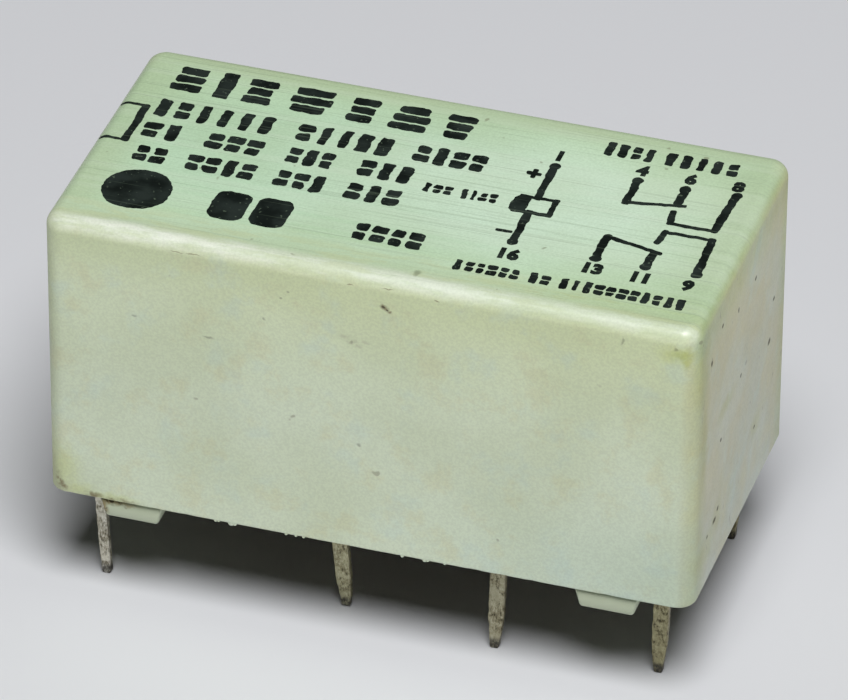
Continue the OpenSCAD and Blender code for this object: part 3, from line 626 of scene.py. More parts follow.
def mould_cover():
    rings = []
    for level, inset, radius in shell_rings():
        outline = rounded_rect(half_l - inset, half_w - inset, radius, ARC_STEPS, SIDE_CUTS)
        at_rim = level < RAGGED_BELOW
        rings.append([Vector((p.x, p.y, level + (raised_rim(p) if at_rim else 0))) for p in outline])
    bm = bmesh.new()
    loft(bm, rings)
    for x, size in FLASH_BEADS:
        at = Matrix.Translation((x * MM, 0.06 * MM - half_w, rim_z - 0.01 * MM))
        squashed = Matrix.Diagonal((size * MM, 0.055 * MM, size * MM, 1))
        bmesh.ops.create_icosphere(bm, subdivisions=2, radius=1, matrix=at @ squashed)
    return bm


shell = mould_cover()
print("shell:", len(shell.faces), "faces, with", len(FLASH_BEADS), "beads of flash")

# %% [markdown]
# ## From a mesh to a piece
# Each finished mesh becomes an object at the origin with one material. The solid that it stands
# for is then hidden, and the piece rides on that solid's body. Most of the inner pieces keep the
# solid that the model gives. Where one needs softer edges, its solid is copied, its loose triangles
# are welded, and flat triangles are joined back into whole faces. Then its sharp edges can be
# bevelled like those of a moulded or cut piece.


# %% Pieces and soft copies
SMOOTH = 180
FLAT = 0
SAME_PLACE = 1e-7
SLIVER = 0.015 * MM
SHARP = 30


def dress(piece, material):
    piece.data.materials.clear()
    piece.data.materials.append(material)


def new_piece(name, source, material, crisp):
    """Links a mesh or a bmesh as a piece. Edges that turn more than crisp degrees stay crisp."""
    mesh = source
    if isinstance(source, bmesh.types.BMesh):
        mesh = bpy.data.meshes.new(name)
        source.to_mesh(mesh)
        source.free()
    mesh.name = name
    mesh.polygons.foreach_set("use_smooth", [crisp > FLAT] * len(mesh.polygons))
    if crisp > FLAT:
        mesh.set_sharp_from_angle(angle=math.radians(crisp))
    piece = link(name, mesh)
    dress(piece, material)
    return piece


def stand_for(piece, node, body="housing"):
    """The piece takes the solid's place and body."""
    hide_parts(node)
    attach(piece, body)
    return len(piece.data.polygons)


def welded(node):
    """A copy of a solid with its triangles joined into flat faces and its slivers closed."""
    bm = bmesh.new()
    bm.from_mesh(nodes[node].data)
    bmesh.ops.remove_doubles(bm, verts=bm.verts, dist=SAME_PLACE)
    bmesh.ops.dissolve_limit(bm, angle_limit=math.radians(1), verts=bm.verts, edges=bm.edges)
    bmesh.ops.remove_doubles(bm, verts=bm.verts, dist=SLIVER)
    return bm


def soften(bm, width, low=-1.0, high=1.0, segments=2):
    """Bevels the sharp edges whose middle lies between two levels."""
    edges = []
    for e in bm.edges:
        if len(e.link_faces) == 2 and math.degrees(e.calc_face_angle(0)) > SHARP:
            if low < (e.verts[0].co.z + e.verts[1].co.z) / 2 < high:
                edges.append(e)
    bmesh.ops.bevel(bm, geom=edges, offset=width, segments=segments, profile=0.5,
                    affect="EDGES", clamp_overlap=True)


def cut(bm, axis, place, **settings):
    """Cuts the mesh along the plane that crosses an axis at a place."""
    normal = Vector((axis == "X", axis == "Y", axis == "Z"))
    bmesh.ops.bisect_plane(bm, geom=bm.verts[:] + bm.edges[:] + bm.faces[:],
                           plane_co=normal * place, plane_no=normal, **settings)


print("cover:", stand_for(new_piece("cover_shell", shell, ivory, SMOOTH), "cover"), "faces")

# %% [markdown]
# ## The base
# The base closes the cover from below, and its four feet come out under the rim. The feet show in
# the photograph: their edges are softly rounded, and the foot beside the first pin has brown flux
# along its root.


# %% Base and its feet
FOOT_R = 0.15 * MM
BASE_R = 0.06 * MM
FOOT_FLUX = (((-8.0, -4.9, 3.52), (0.60, 0.4, 0.09)), ((-8.35, -4.9, 3.3), (0.15, 0.3, 0.3)))


def base_ivory():
    # Painted shade: the base is the cover's plastic, painted darker because the feet stand in lower light
    # under the rim.
    r = Recipe("base_ivory", (0.48, 0.54, 0.39))
    r.paint((0.55, 0.61, 0.45), r.ramp(r.noise(0.4), 0.3, 0.7))
    flux = r.marks(FOOT_FLUX, 0.8, 0.3)
    r.paint((0.26, 0.17, 0.045), flux, 0.8)
    r.paint((0.06, 0.045, 0.02), flux, r.ramp(r.noise(5), 0.50, 0.60))
    r.paint((0.20, 0.19, 0.12), r.ramp(r.z, RIM - 0.01, RIM - 0.08, 0.30, 0.0))
    return r.done(0.5, r.noise(6, 2), 0.004)


def mould_base():
    bm = welded("base_plate")
    soften(bm, FOOT_R, high=rim_z - 0.04 * MM, segments=5)
    soften(bm, BASE_R, low=resin_z + 0.5 * MM)
    return stand_for(new_piece("base", bm, base_ivory(), 35), "base_plate")


print("base with four feet:", mould_base(), "faces")

# %% [markdown]
# ## Pins
# Each pin is a blade stamped from tinned strip. Under the base it is lofted ring by ring, so its
# edges are rounded, its faces carry the pits of old solder, and it narrows to a cut, darkened
# tip. Above the resin the stamping keeps the solid's own mesh, with the same finish. The metal
# gets duller towards the contact end, and one pin in the middle of the front row is duller yet.

# %% Tinned metal
PITCH = 2.54 * MM
RESIN = resin_z / MM
DULL_PIN = (((-1.27, -3.81, 1.5), (1.2, 1.0, 3.0)),)


def tinned_metal():
    r = Recipe("tinned_metal", (0.42, 0.38, 0.27), metallic=0.45)
    blotch = r.noise(3.2, 4, 0.6)
    grain = r.noise((14, 14, 6), 4, 0.72)
    outside = r.ramp(r.z, RESIN + 0.6, RESIN)
    pits = r.times(r.ramp(grain, 0.46, 0.38), r.ramp(blotch, 0.64, 0.42), outside)
    r.paint((0.72, 0.69, 0.57), r.ramp(blotch, 0.36, 0.64))
    r.paint((0.95, 0.93, 0.84), r.ramp(grain, 0.48, 0.66, 0, 0.8))
    r.paint((0.07, 0.055, 0.035), pits, 0.85)
    r.stain((0.48, 0.46, 0.30), r.ramp(r.x, -9, 10.5), outside)
    r.stain((0.80, 0.80, 0.64), r.marks(DULL_PIN, 0.2))
    r.paint((0.62, 0.61, 0.57), r.ramp(r.z, RESIN, RESIN + 0.6))
    r.paint((0.05, 0.047, 0.04), r.ramp(r.z, 0.50, 0.24), r.ramp(grain, 0.45, 0.65, 1, 0.55), 0.92)
    relief = r.maths("SUBTRACT", r.noise((9, 9, 5)), r.times(pits, 0.5))
    return r.done(r.ramp(grain, 0.3, 0.7, 0.55, 0.35), relief, 0.02)


tin = tinned_metal()
print("tin, pitted below", round(RESIN + 0.6, 2), "mm")

# %% [markdown]
# The pins stand in two rows on the standard pitch. Some are a little bent, so each one is lofted
# from its place at the rim to the middle of the solid's own tip.

# %% Blades
PIN_PLACES = {
    "coil_pin_1": (-3.5, -1.5), "coil_pin_16": (-3.5, 1.5),
    "com_terminal_4": (-0.5, -1.5), "com_terminal_13": (-0.5, 1.5),
    "nc_terminal_6": (1.5, -1.5), "nc_terminal_11": (1.5, 1.5),
    "no_terminal_8": (3.5, -1.5), "no_terminal_9": (3.5, 1.5),
}
BLADE_T = 0.25 * MM
BLADE_W = 0.50 * MM
TIP_W = 0.28 * MM
COIL_PIN_W = 0.34 * MM
COIL_TIP_W = 0.29 * MM
BLADE_EDGE = 0.045 * MM
TAPER = 1.2 * MM
TIP_ROUND = 0.10 * MM
BLUNT_W = 0.10 * MM
BLUNT_T = 0.07 * MM
PIN_EDGE = 0.03 * MM
RING_LEVELS = [0, 0.015, 0.04, 0.08] + [0.14 + 0.09 * k for k in range(39)]
WEAR = 0.035 * MM


def pin_tip(node):
    """The middle of the pin's lowest edges, from its solid."""
    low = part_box(node)[0].z
    ends = [v.co for v in nodes[node].data.vertices if v.co.z < low + 0.06 * MM]
    middle = sum(ends, Vector()) / len(ends)
    return Vector((middle.x, middle.y, low))


def blade_ring(centre, width, thick):
    outline = rounded_rect(width / 2, thick / 2, BLADE_EDGE, 4, (4, 1))
    return [centre + p.to_3d() for p in outline]


def worn_in(p, centre, seed):
    """A point of a ring, moved inwards where the noise says that metal is lost."""
    out = (p - centre).normalized()
    rough = noise.noise(p * 3.2 / MM + seed) * 0.6 + noise.noise(p * 9 / MM + seed) * 0.5
    return p + out * min(0.0, rough - 0.15) * WEAR


def blade_rings(node, top):
    """Cross-sections of a pin, from its tip to a level inside the resin."""
    column, row = PIN_PLACES[node]
    wide, narrow = (COIL_PIN_W, COIL_TIP_W) if "coil" in node else (BLADE_W, TIP_W)
    root = Vector((column * PITCH, row * PITCH, rim_z))
    tip = pin_tip(node)
    seed = Vector((column * 7, row * 5, 0))
    rings = []
    for up in (level * MM for level in RING_LEVELS):
        if tip.z + up > rim_z:
            break
        centre = tip.lerp(root, up / (rim_z - tip.z))
        centre.z = tip.z + up
        blunt = 1 - math.sqrt(max(0, 1 - (1 - min(1, up / TIP_ROUND)) ** 2))
        width = narrow + (wide - narrow) * min(1, up / TAPER) - BLUNT_W * blunt
        thick = BLADE_T - BLUNT_T * blunt
        rings.append([worn_in(p, centre, seed) for p in blade_ring(centre, width, thick)])
    for z in (rim_z, top):
        rings.append(blade_ring(Vector((root.x, root.y, z)), wide, BLADE_T))
    return rings


def stamp_pin(node):
    split = resin_z + 0.1 * MM
    bm = welded(node)
    soften(bm, PIN_EDGE, low=resin_z + 0.5 * MM)
    cut(bm, "Z", split, clear_inner=True)
    bmesh.ops.holes_fill(bm, edges=[e for e in bm.edges if len(e.link_faces) == 1], sides=0)
    loft(bm, blade_rings(node, split - 0.001 * MM))
    return stand_for(new_piece(node + "_pin", bm, tin, 40), node)


print(len(PIN_PLACES), "pins:", sum(stamp_pin(node) for node in PIN_PLACES), "faces")

# %% [markdown]
# ## Print on the top
# The ink is a thin raised film. Its fields carry plain bars and blocks, laid out on the solid.
# The circuit diagram, its pin numbers and the plus and minus signs are what any relay of this
# kind carries, so they are drawn in full. Every outline is shaken by noise, because pad printing
# leaves rough edges. That noise would start from the clock, so it gets a fixed seed. Shapes of ink
# may overlap, and two faces at one level would show as a black patch, so each shape is a hair
# lower or higher than the one before.


# %% Ink
ROUGH = 0.055 * MM
OUTLINE_STEP = 0.06 * MM
PRINT_SEED = 7


def print_ink():
    r = Recipe("print_ink", (0.008, 0.012, 0.010))
    blotch = r.noise(1.2)
    r.paint((0.020, 0.030, 0.025), r.ramp(blotch, 0.35, 0.65))
    wear = r.times(r.ramp(r.noise((0.16, 11, 1), 3, 0.6, 0.006), 0.60, 0.70), 0.16)
    spots = r.times(r.ramp(r.noise(7, 2), 0.66, 0.72), 0.28)
    r.paint((0.30, 0.40, 0.27), r.maths("MAXIMUM", wear, spots))
    return r.done(r.ramp(blotch, 0.3, 0.7, 0.35, 0.55), r.noise(10, 2), 0.004)


def shaken(points, seed=0.0):
    """Moves the points of an outline a little, the same way every time."""
    moved = []
    for p in points:
        q = Vector((p.x, p.y, seed)) / MM
        push = noise.noise_vector(q * 2.6) * 0.7 + noise.noise_vector(q * 7) * 0.5
        moved.append(Vector((p.x + push.x * ROUGH, p.y + push.y * ROUGH)))
    return moved


def resampled(points):
    """A closed outline with more points along its sides."""
    dense = []
    for a, b in zip(points, points[1:] + points[:1]):
        n = max(1, math.ceil((b - a).length / OUTLINE_STEP))
        dense += [a.lerp(b, k / n) for k in range(n)]
    return dense


def film(bm, outline, bend=None):
    """Adds one closed flat shape of ink. Bend may move its points onto a rounded edge."""
    thick = ink_t * (0.82 + 0.12 * (len(bm.verts) * 0.618 % 1))
    rows = []
    for level in (0.0, thick):
        row = [Vector((p.x, p.y, top_z + level)) for p in outline]
        rows.append([bm.verts.new(bend(p, level) if bend else p) for p in row])
    low_row, high_row = rows
    for k in range(len(outline)):
        n = (k + 1) % len(outline)
        bm.faces.new((low_row[k], low_row[n], high_row[n], high_row[k]))
    caps = [bm.faces.new(high_row), bm.faces.new(list(reversed(low_row)))]
    bmesh.ops.triangulate(bm, faces=caps)


noise.seed_set(PRINT_SEED)
ink = print_ink()
print("ink of", round(ink_t / MM, 3), "mm")

# %% [markdown]
# A stroke is a straight bar with rounded corners, a dot is a round shape, and the figures come
# from Blender's own plain font, made bolder and turned into a mesh.


# %% Strokes, dots and figures
STROKE_ROUND = 0.35
BOLD = 0.09
FONT_SCALE = 1.38
FIGURE_SHAKE = 0.022 * MM


def pill(a, b, width):
    """Outline of a stroke from a to b with rounded corners."""
    along = (b - a).normalized()
    side = Vector((-along.y, along.x))
    r = width * STROKE_ROUND
    outline = []
    for end, sign in ((b, 1), (a, -1)):
        tip = end + along * sign * width / 2
        for corner in (-1, 1):
            middle = tip - along * sign * r + side * sign * corner * (width / 2 - r)
            for k in range(4):
                turn = math.radians((-90 if corner < 0 else 0) + 30 * k)
                outline.append(middle + (along * sign * math.cos(turn) + side * sign * math.sin(turn)) * r)
    return outline


def stroke(bm, a, b, width, bend=None):
    outline = resampled(pill(Vector(a) * MM, Vector(b) * MM, width * MM))
    film(bm, shaken(outline, width), bend)


def dot(bm, at, radius):
    turns = [math.tau * k / 20 for k in range(20)]
    film(bm, shaken([Vector(at) * MM + towards(a) * radius * MM for a in turns]))


def figures(bm, text, at, height):
    """Plain figures as ink, their middle at the given place."""
    curve = bpy.data.curves.new("figures", "FONT")
    curve.body = text
    curve.size = height * FONT_SCALE * MM
    curve.offset = BOLD * height * MM
    curve.extrude = ink_t * 0.46
    curve.align_x = "CENTER"
    curve.align_y = "CENTER"
    curve.resolution_u = 2
    maker = link("figures", curve)
    bpy.context.view_layer.update()
    mesh = bpy.data.meshes.new_from_object(maker)
    bpy.data.objects.remove(maker)
    ys = [v.co.y for v in mesh.vertices]
    shift = Vector((at[0] * MM, at[1] * MM - (min(ys) + max(ys)) / 2, top_z + ink_t * 0.47))
    for v in mesh.vertices:
        shake = noise.noise_vector(Vector((v.co.x + shift.x, v.co.y + shift.y, 0)) * 4 / MM)
        v.co += shift + Vector((shake.x, shake.y, 0)) * FIGURE_SHAKE
    bm.from_mesh(mesh)


print("strokes, dots and figures are ready")

# %% [markdown]
# The index bracket reaches over the rounded edge at the coil end, so its arms follow that edge.


# %% Index bracket
BRACKET = (
    ((-9.92, 1.65), (-9.2, 1.65), 0.13), ((-9.15, 1.62), (-9.15, -0.27), 0.25),
    ((-9.2, -0.31), (-9.92, -0.31), 0.13),
)


def over_the_edge(p, level):
    """Wraps a point that lies past the flat top onto the round edge."""
    past = -p.x - (half_l - edge_r)
    if past <= 0:
        return p
    a = past / edge_r
    r = edge_r + level
    return Vector((-(half_l - edge_r) - r * math.sin(a), p.y, top_z - edge_r + r * math.cos(a)))


def print_index():
    bm = bmesh.new()
    for a, b, width in BRACKET:
        stroke(bm, a, b, width, over_the_edge)
    return stand_for(new_piece("index_bracket", bm, ink, FLAT), "printed_index")


print("index bracket:", print_index(), "faces")

# %% [markdown]
# The circuit diagram shows the relay at rest: the coil box, half filled to mark its polarity, and
# on each row one closed and one open contact. Its places are in millimetres on the top.


# %% Circuit diagram
HEAVY = 0.26
FINE = 0.15
COIL_WIRES = (
    ((3.50, 2.29), (3.52, 0.50), HEAVY), ((3.51, -0.33), (3.50, -1.98), HEAVY),
    ((3.05, 0.48), (4.13, 0.48), FINE), ((4.12, 0.48), (4.12, -0.31), 0.19),
    ((4.13, -0.32), (3.02, -0.33), 0.17),
)
CONTACT_WIRES = (
    ((6.08, 2.32), (6.07, 1.09), HEAVY), ((6.07, 1.09), (7.78, 1.42), FINE),
    ((7.55, 2.30), (7.54, 1.45), HEAVY), ((9.08, 2.40), (8.98, 0.42), HEAVY),
    ((8.98, 0.40), (7.66, 0.40), FINE), ((7.63, 0.42), (7.56, 0.98), 0.21),
    ((7.55, -0.68), (7.63, -0.10), 0.21), ((7.63, -0.08), (9.06, -0.09), FINE),
    ((9.07, -0.10), (9.13, -1.98), HEAVY), ((6.08, -0.86), (6.07, -2.05), HEAVY),
    ((6.08, -0.85), (7.80, -1.23), FINE), ((7.62, -1.28), (7.60, -2.03), HEAVY),
)
WIRE_ENDS = (
    (3.50, 2.30), (3.50, -1.98), (6.08, 2.32), (7.55, 2.30),
    (9.09, 2.41), (9.13, -1.98), (6.07, -2.07), (7.60, -2.05),
)
PIN_NUMBERS = {
    "1": (3.49, 2.88), "4": (6.07, 2.88), "6": (7.56, 2.88), "8": (9.02, 2.92),
    "16": (3.57, -2.63), "13": (6.13, -2.60), "11": (7.61, -2.63), "9": (9.05, -2.60),
}
FILLED_HALF = (
    (3.37, -0.36), (3.37, 0.50), (3.02, 0.53), (2.86, 0.32), (2.82, -0.02), (2.86, -0.28), (3.02, -0.41),
)
SIGNS = (
    ((2.88, 1.72), (3.20, 1.74), 0.17), ((3.04, 1.57), (3.04, 1.89), 0.17),
    ((2.88, -1.48), (3.28, -1.48), 0.12),
)


def print_diagram():
    bm = bmesh.new()
    for a, b, width in COIL_WIRES + CONTACT_WIRES:
        stroke(bm, a, b, width)
    film(bm, shaken(resampled([Vector(p) * MM for p in FILLED_HALF])))
    for at in WIRE_ENDS:
        dot(bm, at, 0.18)
    for text, at in PIN_NUMBERS.items():
        figures(bm, text, at, 0.50)
    for a, b, width in SIGNS:
        stroke(bm, a, b, width)
    return stand_for(new_piece("circuit_diagram", bm, ink, FLAT), "printed_schematic")


print("circuit diagram:", print_diagram(), "faces")

# %% [markdown]
# ## Rows of bars by Geometry Nodes
# One tree lays a row of bars of any length and height. It places cells along the row, and each
# cell gets either one upright bar or a stack of short level bars, chosen by a seeded random
# value. The outlines are shaken and filled, and then raised to the thickness of the ink. The
# script runs the tree once for each field of ink on the solid. Its class gives a tree its named
# inputs and hands back the result as a plain mesh.


# %% The class for a tree
class Graph(Tree):
    """A Geometry Nodes tree with named inputs, run on an empty mesh."""

    def __init__(self, name, **inputs):
        self.tree = bpy.data.node_groups.new(name, "GeometryNodeTree")
        self.tree.interface.new_socket("Geometry", in_out="OUTPUT", socket_type="NodeSocketGeometry")
        self.keys = {}
        for label, default in inputs.items():
            kind = "NodeSocketInt" if isinstance(default, int) else "NodeSocketFloat"
            socket = self.tree.interface.new_socket(label, in_out="INPUT", socket_type=kind)
            socket.default_value = default
            self.keys[label] = socket.identifier
        self.given = self.put("NodeGroupInput").outputs
        self.exit = self.put("NodeGroupOutput")

    def shape(self, kind, inputs=(), **settings):
        """The first output of a geometry node."""
        return self.put("GeometryNode" + kind, inputs, **settings).outputs[0]

    def xyz(self, x=0.0, y=0.0, z=0.0):
        return self.put("ShaderNodeCombineXYZ", (x, y, z)).outputs[0]

    def join(self, *parts):
        node = self.put("GeometryNodeJoinGeometry")
        for part in parts:
            self.tree.links.new(part, node.inputs[0])
        return node.outputs[0]

    def finish(self, geometry, material):
        real = self.shape("RealizeInstances", (geometry,))
        self.feed(self.exit.inputs[0], self.shape("SetMaterial", {0: real, "Material": material}))

    def run(self, **values):
        """The mesh that the tree makes for these inputs."""
        maker = link("maker", bpy.data.meshes.new("maker"))
        modifier = maker.modifiers.new("tree", "NODES")
        modifier.node_group = self.tree
        for label, value in values.items():
            modifier[self.keys[label]] = value
        graph = bpy.context.evaluated_depsgraph_get()
        mesh = bpy.data.meshes.new_from_object(maker.evaluated_get(graph))
        maker.modifiers.remove(modifier)
        bpy.data.objects.remove(maker)
        return mesh


print("trees can be built and run")

# %% [markdown]
# The tree has three parts. The first puts upright bars on a line of points, the second puts the
# stacks on a grid of points, and both ask the same random value of the cell they are in. The
# third shakes the outlines and gives them their thickness.


# %% The tree for a row of bars
def chance(g, ident, shift=0):
    """A seeded yes or no for each cell."""
    seed = g.maths("ADD", g.given["seed"], float(shift))
    inputs = {"Probability": g.given["upright"], "ID": ident, "Seed": seed}
    return g.put("FunctionNodeRandomValue", inputs, data_type="BOOLEAN").outputs[3]


def between(g, low, high, shift):
    """A seeded value between two others, for each bar."""
    seed = g.maths("ADD", g.given["seed"], float(shift))
    return g.put("FunctionNodeRandomValue", {2: low, 3: high, "Seed": seed}, data_type="FLOAT").outputs[1]


def bar(g, wide, high, corner):
    box = g.shape("CurvePrimitiveQuadrilateral", {"Width": wide, "Height": high})
    inputs = {"Curve": box, "Count": 3, "Radius": corner, "Limit Radius": True}
    return g.shape("FilletCurve", inputs, mode="POLY")


def upright_bars(g, step, count, height, index):
    start = g.xyz(g.times(step, 0.5))
    line = g.shape("MeshLine", {"Count": count, "Start Location": start, "Offset": g.xyz(step)})
    one = bar(g, g.times(step, 0.50), height, g.times(step, 0.12))
    return g.shape("InstanceOnPoints", {
        "Points": line, "Selection": chance(g, index), "Instance": one,
        "Scale": g.xyz(between(g, 0.85, 1.45, 3), 1.0, 1.0)})


def stacked_bars(g, step, count, height, index):
    lines = g.given["lines"]
    line_h = g.maths("DIVIDE", height, lines)
    grid = g.shape("MeshGrid", {
        "Size X": g.maths("SUBTRACT", g.given["length"], step), "Size Y": g.maths("SUBTRACT", height, line_h),
        "Vertices X": count, "Vertices Y": lines})
    cell = g.maths("FLOOR", g.maths("DIVIDE", index, lines))
    not_upright = g.put("FunctionNodeBooleanMath", {0: chance(g, cell)}, operation="NOT").outputs[0]
    one = bar(g, g.times(step, 0.90), g.times(line_h, 0.80), g.times(line_h, 0.2))
    stacks = g.shape("InstanceOnPoints", {
        "Points": grid, "Selection": not_upright, "Instance": one,
        "Scale": g.xyz(between(g, 0.72, 1.0, 5), 1.0, 1.0)})
    middle = g.xyz(g.times(g.given["length"], 0.5))
    return g.shape("Transform", {"Geometry": stacks, "Translation": middle})


def shake_outlines(g, outlines):
    drift = g.xyz(g.times(g.given["seed"], 0.0137))
    where = g.vector("ADD", g.shape("InputPosition"), drift)
    cloud = g.put("ShaderNodeTexNoise", {"Vector": where, "Scale": 3.4 / MM, "Detail": 2.0}).outputs["Color"]
    even = g.vector("SUBTRACT", cloud, (0.5,) * 3)
    push = g.vector("MULTIPLY", even, (3.2 * ROUGH, 3.2 * ROUGH, 0))
    return g.shape("SetPosition", {"Geometry": outlines, "Offset": push})


def bar_row_tree():
    g = Graph("bar_row", length=0.005, height=0.001, cell=0.001, lines=2, seed=1, upright=0.4,
              thickness=0.0001)
    height = g.given["height"]
    cells = g.maths("ROUND", g.maths("DIVIDE", g.given["length"], g.given["cell"]))
    count = g.maths("MAXIMUM", cells, 1.0)
    step = g.maths("DIVIDE", g.given["length"], count)
    index = g.shape("InputIndex")
    bars = g.join(upright_bars(g, step, count, height, index), stacked_bars(g, step, count, height, index))
    outlines = g.shape("RealizeInstances", {0: bars})
    outlines = g.shape("ResampleCurve", {"Curve": outlines, "Length": OUTLINE_STEP}, mode="LENGTH")
    flat = g.shape("FillCurve", {0: shake_outlines(g, outlines)}, mode="NGONS")
    up = {"Mesh": flat, "Offset": (0.0, 0.0, 1.0), "Offset Scale": g.given["thickness"], "Individual": False}
    raised = g.shape("ExtrudeMesh", up, mode="FACES")
    under = g.shape("FlipFaces", {0: flat})
    closed = g.shape("MergeByDistance", {"Geometry": g.join(raised, under), "Distance": SAME_PLACE})
    g.finish(closed, ink)
    return g


bar_row = bar_row_tree()
print("the tree for a row of bars has", len(bar_row.tree.nodes), "nodes")

# %% [markdown]
# The solid says where each field of ink lies. Its loose parts are found by walking from vertex
# to vertex, and each part's box becomes a row of bars or, if it is tall, a block.


# %% Legend
TALL = 1.2 * MM
TALLEST = 2.0 * MM
HEAD_ROW_Y = 3.9 * MM


def fields_of(node):
    """The box of each separate field of ink on a solid, from the back row to the front."""
    bm = bmesh.new()
    bm.from_mesh(nodes[node].data)
    bmesh.ops.remove_doubles(bm, verts=bm.verts, dist=SAME_PLACE)
    left = set(bm.verts)
    boxes = []
    while left:
        found = [left.pop()]
        for v in found:
            near = [e.other_vert(v) for e in v.link_edges]
            found += [n for n in near if n in left]
            left.difference_update(near)
        xs = [v.co.x for v in found]
        ys = [v.co.y for v in found]
        boxes.append((min(xs), max(xs), min(ys), max(ys)))
    bm.free()
    return sorted(boxes, key=lambda b: (-round(b[3] / MM, 2), b[0]))


def block(bm, x0, x1, y0, y1, radius, seed):
    """One rounded block of ink."""
    middle = ((x0 + x1) / 2, (y0 + y1) / 2)
    outline = rounded_rect((x1 - x0) / 2, (y1 - y0) / 2, radius, 8, at=middle)
    film(bm, shaken(resampled(outline), seed))


def print_legend():
    bm = bmesh.new()
    for seed, (x0, x1, y0, y1) in enumerate(fields_of("printed_legend")):
        tall = y1 - y0
        head = y1 > HEAD_ROW_Y and tall > TALL
        if head and x1 - x0 < 0.5 * tall:
            block(bm, x0, x1, y0, y1, 0.05 * MM, seed)
        elif tall > TALL and not head:
            block(bm, x0, x1, y0, y1, (0.47 if tall > TALLEST else 0.22) * tall, seed)
        else:
            cell, lines, upright = (1.25, 3, 0.0) if head else (0.66, 2, 0.45)
            mesh = bar_row.run(length=x1 - x0, height=tall, cell=tall * cell, lines=lines,
                               seed=seed * 3 + 1, upright=upright, thickness=ink_t * 0.93)
            mesh.transform(Matrix.Translation((x0, (y0 + y1) / 2, top_z)))
            bm.from_mesh(mesh)
    return stand_for(new_piece("legend_bars", bm, ink, FLAT), "printed_legend")


print("legend:", print_legend(), "faces")

# %% [markdown]
# ## The sealing resin
# The resin was poured in from below, so it climbs a little where it wets the cover, the feet and
# the pins. A copy of its solid is cut into small squares, and every point of the open surface
# that doesn't touch a wall is lifted, by an amount that changes slowly from place to place.


# %% Resin
RESIN_HOLLOW = 0.065 * MM
RESIN_WAVES = 0.025 * MM


def amber_resin():
    # The resin is painted nearly black, partly its own dark amber and partly painted shade that darkens the
    # shadow under the relay.
    r = Recipe("amber_resin", (0.030, 0.020, 0.009))
    r.paint((0.060, 0.042, 0.019), r.ramp(r.noise(0.6), 0.3, 0.7))
    bubbles = r.ramp(r.noise(3.5, 1), 0.70, 0.76)
    r.paint((0.14, 0.11, 0.06), bubbles, 0.5)
    return r.done(0.22, r.maths("ADD", r.noise(0.8, 2), r.times(bubbles, 0.4)), 0.03)


def pour_resin():
    bm = welded("sealing_resin")
    for k in range(1, 60):
        cut(bm, "X", (-9.6 + 19.2 * k / 60) * MM)
    for k in range(1, 30):
        cut(bm, "Y", (-4.6 + 9.2 * k / 30) * MM)
    bm.normal_update()
    for v in bm.verts:
        at_a_wall = any(abs(f.normal.z) < 0.5 for f in v.link_faces)
        if abs(v.co.z - resin_z) < 1e-6 and not at_a_wall:
            v.co.z += RESIN_HOLLOW + RESIN_WAVES * noise.noise(v.co * 0.9 / MM)
    bmesh.ops.recalc_face_normals(bm, faces=bm.faces)
    return stand_for(new_piece("resin", bm, amber_resin(), 50), "sealing_resin")


print("resin:", pour_resin(), "faces")

# %% [markdown]
# ## The coil
# The winding is turn after turn of fine enamelled wire. A second tree sweeps a round wire along
# a spiral and lays it on a body with the bobbin tube's hole.


# %% Winding
WIRE = 0.085 * MM


def enamelled_copper():
    r = Recipe("enamelled_copper", (0.46, 0.15, 0.055), metallic=0.5)
    r.paint((0.62, 0.24, 0.09), r.ramp(r.noise(0.7), 0.3, 0.7))
    return r.done(r.ramp(r.noise(5, 2), 0.3, 0.7, 0.25, 0.4))


def winding_tree():
    g = Graph("winding", length=0.006, radius=0.002, wire=0.0001, hole=0.003, tall=0.001)
    length, radius, wire, hole, tall = g.given[:5]
    half_wire = g.times(wire, 0.5)
    turns = g.maths("FLOOR", g.maths("DIVIDE", g.maths("SUBTRACT", length, wire), wire))
    run = g.times(turns, wire)
    middle = g.maths("SUBTRACT", radius, half_wire)
    spiral = g.shape("CurveSpiral", {"Resolution": 40, "Rotations": turns, "Start Radius": middle,
                                     "End Radius": middle, "Height": run})
    section = g.shape("CurvePrimitiveCircle", {"Resolution": 8, "Radius": half_wire}, mode="RADIUS")
    sweep = g.shape("CurveToMesh", {"Curve": spiral, "Profile Curve": section, "Fill Caps": True})
    back = g.xyz(0.0, 0.0, g.times(run, -0.5))
    sweep = g.shape("Transform", {"Geometry": sweep, "Translation": back})
    body = g.shape("MeshCylinder", {"Vertices": 72, "Radius": middle, "Depth": length})
    tube = g.shape("MeshCube", {"Size": g.xyz(tall, hole, g.times(length, 2.0))})
    body = g.shape("MeshBoolean", {0: body, 1: tube}, operation="DIFFERENCE")
    laid = g.shape("Transform", {"Geometry": g.join(body, sweep), "Rotation": (0.0, math.pi / 2, 0.0)})
    g.finish(laid, copper)
    return g


def wind_coil():
    low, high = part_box("winding")
    middle = (low + high) / 2
    radius = (high.y - low.y) / 2
    points = [v.co - middle for v in nodes["winding"].data.vertices]
    hole = [p for p in points if math.hypot(p.y, p.z) < radius - 0.1 * MM]
    wide = 2 * max(abs(p.y) for p in hole)
    tall = 2 * max(abs(p.z) for p in hole)
    mesh = winding_tree().run(length=high.x - low.x, radius=radius, wire=WIRE, hole=wide, tall=tall)
    mesh.transform(Matrix.Translation(middle))
    return stand_for(new_piece("coil_winding", mesh, copper, 50), "winding")


copper = enamelled_copper()
print("winding:", wind_coil(), "faces")

# %% [markdown]
# ## Leaf springs
# Each leaf is welded to its tab and bends where it leaves it. The leaf is cut into short lengths,
# from one end to the other.


# %% Springs
LEAF_CUTS = 40
LEAF_EDGE = 0.02 * MM


